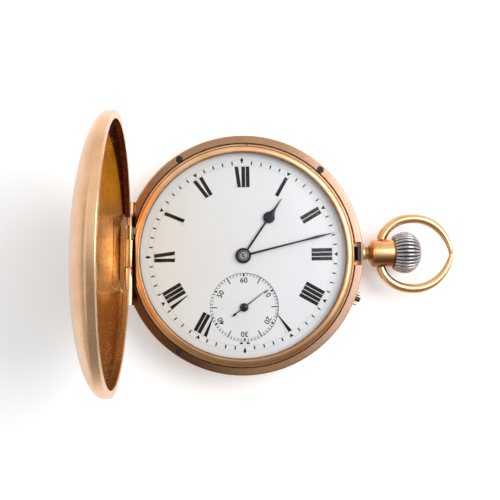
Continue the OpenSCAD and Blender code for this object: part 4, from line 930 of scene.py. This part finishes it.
# %% Minute hand: a needle with a slight leaf, and the boss on the cannon pinion
s = np.linspace(0.9, minute_len, 140)
stem = np.interp(s, [0.9, 13.0, 18.2, minute_len], [0.23, 0.15, 0.10, 0.03])
swell = 0.14 * np.exp(-((s - 15.6) / 1.9) ** 2)
minute = piece("minute_blade", blade("minute", s, capped(stem + swell), minute_z, 0.2, 76.7))
dress(minute, "minute_hand", blued_steel, "blued_steel", "minute_hand")
boss_line = [(0, 10.45), (0.9, 10.3), (1.2, 10.32), (1.2, 10.45), (1.1, 10.53), (0.74, 10.53),
             (0.70, 10.5), (0.62, 10.64), (0.45, 10.66), (0.34, 10.6), (0.28, 10.62), (0, 10.66)]
boss = piece("minute_hub", turned("boss", boss_line, 64, closed=False))
dress(boss, "minute_hand", boss_steel, "blued_steel", "minute_hand")

# %% Seconds hand: a needle whose tail ends in a spear
s = np.linspace(tail, seconds_len, 120)
stem = np.interp(s, [tail, -2.2, 0, seconds_len], [0.02, 0.10, 0.13, 0.04])
spear = np.interp(s, [tail, -2.5, -2.05], [0.02, 0.27, 0.1]) * (s < -2.0)
half = capped(np.maximum(stem, spear))
seconds_boss = [(0, 9.52), (0.84, 9.5), (0.88, 9.54), (0.88, 9.62), (0.8, 9.68), (0.42, 9.72),
                (0.3, 9.77), (0, 9.79)]
seconds = piece("seconds_blade", blade("seconds", s, half, seconds_z, 0.14, 53.3, (0, sub_y)),
                turned("seconds_boss", seconds_boss, 64, centre=(0, sub_y, 0), closed=False))
dress(seconds, "seconds_hand", blued_steel, "blued_steel", "seconds_hand")

# %% [markdown]
# ## What is printed on the dial
# The figures are fired on in black. Every stroke is a thin column with four corners, placed by its
# angle past twelve, its distance outwards, and its offset clockwise. The dial carries no name.

# %% Many small columns at once
def columns(name, corners, z0, z1):
    """corners is (n, 4, 2). Each set of four becomes a column from z0 to z1."""
    n = len(corners)
    points = np.zeros((n, 8, 3))
    points[:, :4, :2] = points[:, 4:, :2] = corners
    points[:, :4, 2], points[:, 4:, 2] = z0, z1
    sides = [[3, 2, 1, 0], [4, 5, 6, 7], [0, 1, 5, 4], [1, 2, 6, 5], [2, 3, 7, 6], [3, 0, 4, 7]]
    faces = (np.arange(n)[:, None, None] * 8 + sides).reshape(-1, 4)
    return mesh_from(name, points.reshape(-1, 3), faces)


def on_dial(angle, offset, out, centre=(0, 0)):
    """angle in degrees past twelve, offset clockwise, out from the centre; all arrays of one shape."""
    a = np.radians(angle)
    return np.stack([centre[0] + out * np.sin(a) + offset * np.cos(a),
                     centre[1] + out * np.cos(a) - offset * np.sin(a)], -1)


def strokes(rows, centre=(0, 0)):
    """Each row is (angle, r_in, offset_in, width_in, r_out, offset_out, width_out)."""
    a, r0, o0, w0, r1, o1, w1 = np.asarray(rows, float).T
    angle = np.stack([a, a, a, a], 1)
    offset = np.stack([o0 - w0 / 2, o0 + w0 / 2, o1 + w1 / 2, o1 - w1 / 2], 1)
    out = np.stack([r0, r0, r1, r1], 1)
    return on_dial(angle, offset, out, centre)


# %% Roman numerals
# Each letter has a width and strokes: (offset and width at the foot, offset and width at the head).
letters = {
    "I": (0.76, [(0.38, 0.76, 0.38, 0.76)]),
    "V": (1.33, [(0.86, 0.12, 0.38, 0.80), (0.90, 0.03, 1.30, 0.03)]),
    "X": (1.30, [(0.95, 0.76, 0.38, 0.76), (0.08, 0.03, 1.22, 0.03)]),
}
foot_r, head_r, letter_gap = 14.2, 18.5, 0.14


def numeral(angle, text):
    """Letters set clockwise about their own middle, with a hairline along their feet and heads."""
    total = sum(letters[c][0] for c in text) + letter_gap * (len(text) - 1)
    at, rows = -total / 2, []
    for c in text:
        wide, parts = letters[c]
        rows += [(angle, foot_r, at + o0, w0, head_r, at + o1, w1) for o0, w0, o1, w1 in parts]
        at += wide + letter_gap
    rows += [(angle, r, 0, total + 0.2, r + 0.02, 0, total + 0.2) for r in (foot_r, head_r - 0.02)]
    return rows


rows = []
for hour_mark, text in enumerate("XII I II III IIII V VII VIII IX X XI".split()):
    rows += numeral(30 * (hour_mark + (hour_mark > 5)), text)
rows += [(180, 18.02, o, w, 18.38, o, w) for o, w in ((-0.68, 0.66), (0.70, 0.62))]
print("strokes in the numerals:", len(rows))

# %% Minute track, in rows of strokes
for minute_mark in range(60):
    angle = 6 * minute_mark
    if minute_mark % 5:
        rows.append((angle, 18.88, 0, 0.27, 19.62, 0, 0.27))
    elif minute_mark in (0, 30, 45):
        rows += [(angle, 19.08, 0, 0.08, 19.86, 0, 0.62), (angle, 19.86, 0, 0.62, 20.34, 0, 0.10)]
    else:
        rows.append((angle, 18.96, 0, 0.10, 19.64, 0, 0.92))
main_print = [columns("strokes", strokes(rows), dial_top - 0.01, dial_top + 0.02)]


def hairline(r, width, z, centre=(0, 0)):
    """A printed circle of radius r."""
    near, far, low, high = r - width / 2, r + width / 2, z - 0.01, z + 0.018
    line = [(near, low), (far, low), (far, high), (near, high)]
    return turned("circle", line, 240, centre=(*centre, 0))


main_print += [hairline(18.74, 0.016, dial_top), hairline(19.92, 0.014, dial_top)]
figures = piece("dial_figures", *main_print, sharp=30)
dress(figures, "case", ink, "enamel")

# %% The seconds dial
sub_z, sub_at = dial_top - 0.25, (0, sub_y)
rows = [(6 * k, 6.62, 0, 0.13, 7.04, 0, 0.13) for k in range(60)]
rows += [(30 * k, 5.62, 0, 0.20, 7.04, 0, 0.20) for k in (1, 3, 5, 7, 9, 11)]
rows += [(60 * k, 6.40, 0, 0.12, 6.72, 0, 0.44) for k in range(6)]
rows += [(60 * k, 6.72, 0, 0.44, 7.04, 0, 0.12) for k in range(6)]
small_print = [columns("ticks", strokes(rows, sub_at), sub_z - 0.01, sub_z + 0.02)]
small_print += [hairline(7.08, 0.06, sub_z, sub_at), hairline(6.58, 0.025, sub_z, sub_at)]


def figure(text, angle, out=5.58, size=1.55):
    """Text as a thin solid, its head turned outwards, centred `out` from the seconds dial's middle."""
    curve = bpy.data.curves.new("figure", "FONT")
    curve.body, curve.size, curve.align_x, curve.align_y = text, size * MM, "CENTER", "CENTER"
    curve.extrude, curve.offset = 0.01 * MM, 0.02 * MM
    thing = add("figure", curve)
    graph = bpy.context.evaluated_depsgraph_get()
    mesh = bpy.data.meshes.new_from_object(thing.evaluated_get(graph))
    bpy.data.objects.remove(thing)
    bpy.data.curves.remove(curve)
    there = Matrix.Translation((*on_dial(angle, 0.0, out, sub_at), sub_z + 0.008))
    turn = Matrix.Rotation(-math.radians(angle), 4, "Z")
    return placed(mesh, there @ turn @ Matrix.Diagonal((1.02, 1, 1, 1)))


small_print += [figure(str(10 * k), 60 * k % 360) for k in (6, 1, 2, 3, 4, 5)]
seconds_figures = piece("seconds_figures", *small_print, sharp=30)
dress(seconds_figures, "case", ink, "enamel")

# %% [markdown]
# ## Light and camera
# A polished case shows its surroundings more than itself. The room is bright towards the window at the
# top right and along a pale wall at the left, and dim below, so gold turns from cream to brown. One
# soft lamp from the upper right throws the shadow.

# %% The lamp
key_place, key_size, key_watts, key_aim = Vector((185, 70, 255)), 220, 0.74, Vector((0, 0, 8))
lamp = bpy.data.lights.new("key", "AREA")
lamp.shape, lamp.size, lamp.energy = "SQUARE", key_size * MM, key_watts
key = add("key", lamp)
key.location = key_place * MM
key.rotation_euler = (key_place - key_aim).to_track_quat("Z", "Y").to_euler()
print("lamp of", key_watts, "watts,", round((key_place - key_aim).length), "mm from the dial")

# %% The room around the watch
world = bpy.data.worlds.new("studio")
bpy.context.scene.world = world
world.use_nodes = True


class Room(Finish):
    """World nodes, written with the same arithmetic."""

    def __init__(self, world):
        self.tree = world.node_tree
        self.shader = self.tree.nodes["Background"]


room = Room(world)
direction = room.node("ShaderNodeTexCoord")
x, y, z = [room.node("ShaderNodeSeparateXYZ", {}, {0: direction}, out=i) for i in range(3)]
window = room.step(0.45 * x + 0.9 * y, -0.42, 0.38, to=(0.32, 1.0))
dark_strip = room.between(z, (0.0, 0.14), (0.34, 0.56))
to_left = room.step(0 - x, 0.3, 0.6)
left_wall = to_left * (1 - 0.6 * dark_strip)
strength = window * (1 - 0.5 * to_left) + 0.8 * left_wall
room.set(strength=strength, color=(0.98, 0.99, 1.0, 1))

# %% Paper under the watch
far, floor_z = 1500, -0.02
floor_corners = [(-far, -far, floor_z), (far, -far, floor_z), (far, far, floor_z), (-far, far, floor_z)]
floor_mesh = mesh_from("floor", floor_corners, np.array([[0, 1, 2, 3]]))
floor = add("floor", floor_mesh)
paper = Finish("white_paper")
# Painted shade: out of view towards six the paper is darker, so the lower bezel mirrors something dim.
near_edge = 1 - paper.step(axis_parts(paper)[1], -190, -95)
paper.set(base_color=paper.mix(near_edge, (0.93, 0.93, 0.93), (0.40, 0.39, 0.38)), roughness=0.8,
          emission_color=(1, 1, 1, 1), emission_strength=0.12)
floor_mesh.materials.append(paper.material)

# %% The camera, close above the watch and turned by a degree
camera = add("camera", bpy.data.cameras.new("camera"))
camera.data.lens, camera.data.sensor_width = 54.6, 36.0
camera.data.clip_start, camera.data.clip_end = 0.005, 20
camera.location = Vector((-1.93, 1.20, 167.0)) * MM
camera.rotation_euler = (0, -math.radians(1.21), -math.radians(0.98))
bpy.context.scene.camera = camera
bpy.context.scene.view_settings.view_transform = "Standard"
print("camera", round(camera.location.z / MM), "mm above the table, lens", round(camera.data.lens, 1))

# %% The corners of a box
def corners(box):
    """The two corners of a box as plain lists."""
    return [list(map(float, corner)) for corner in box]
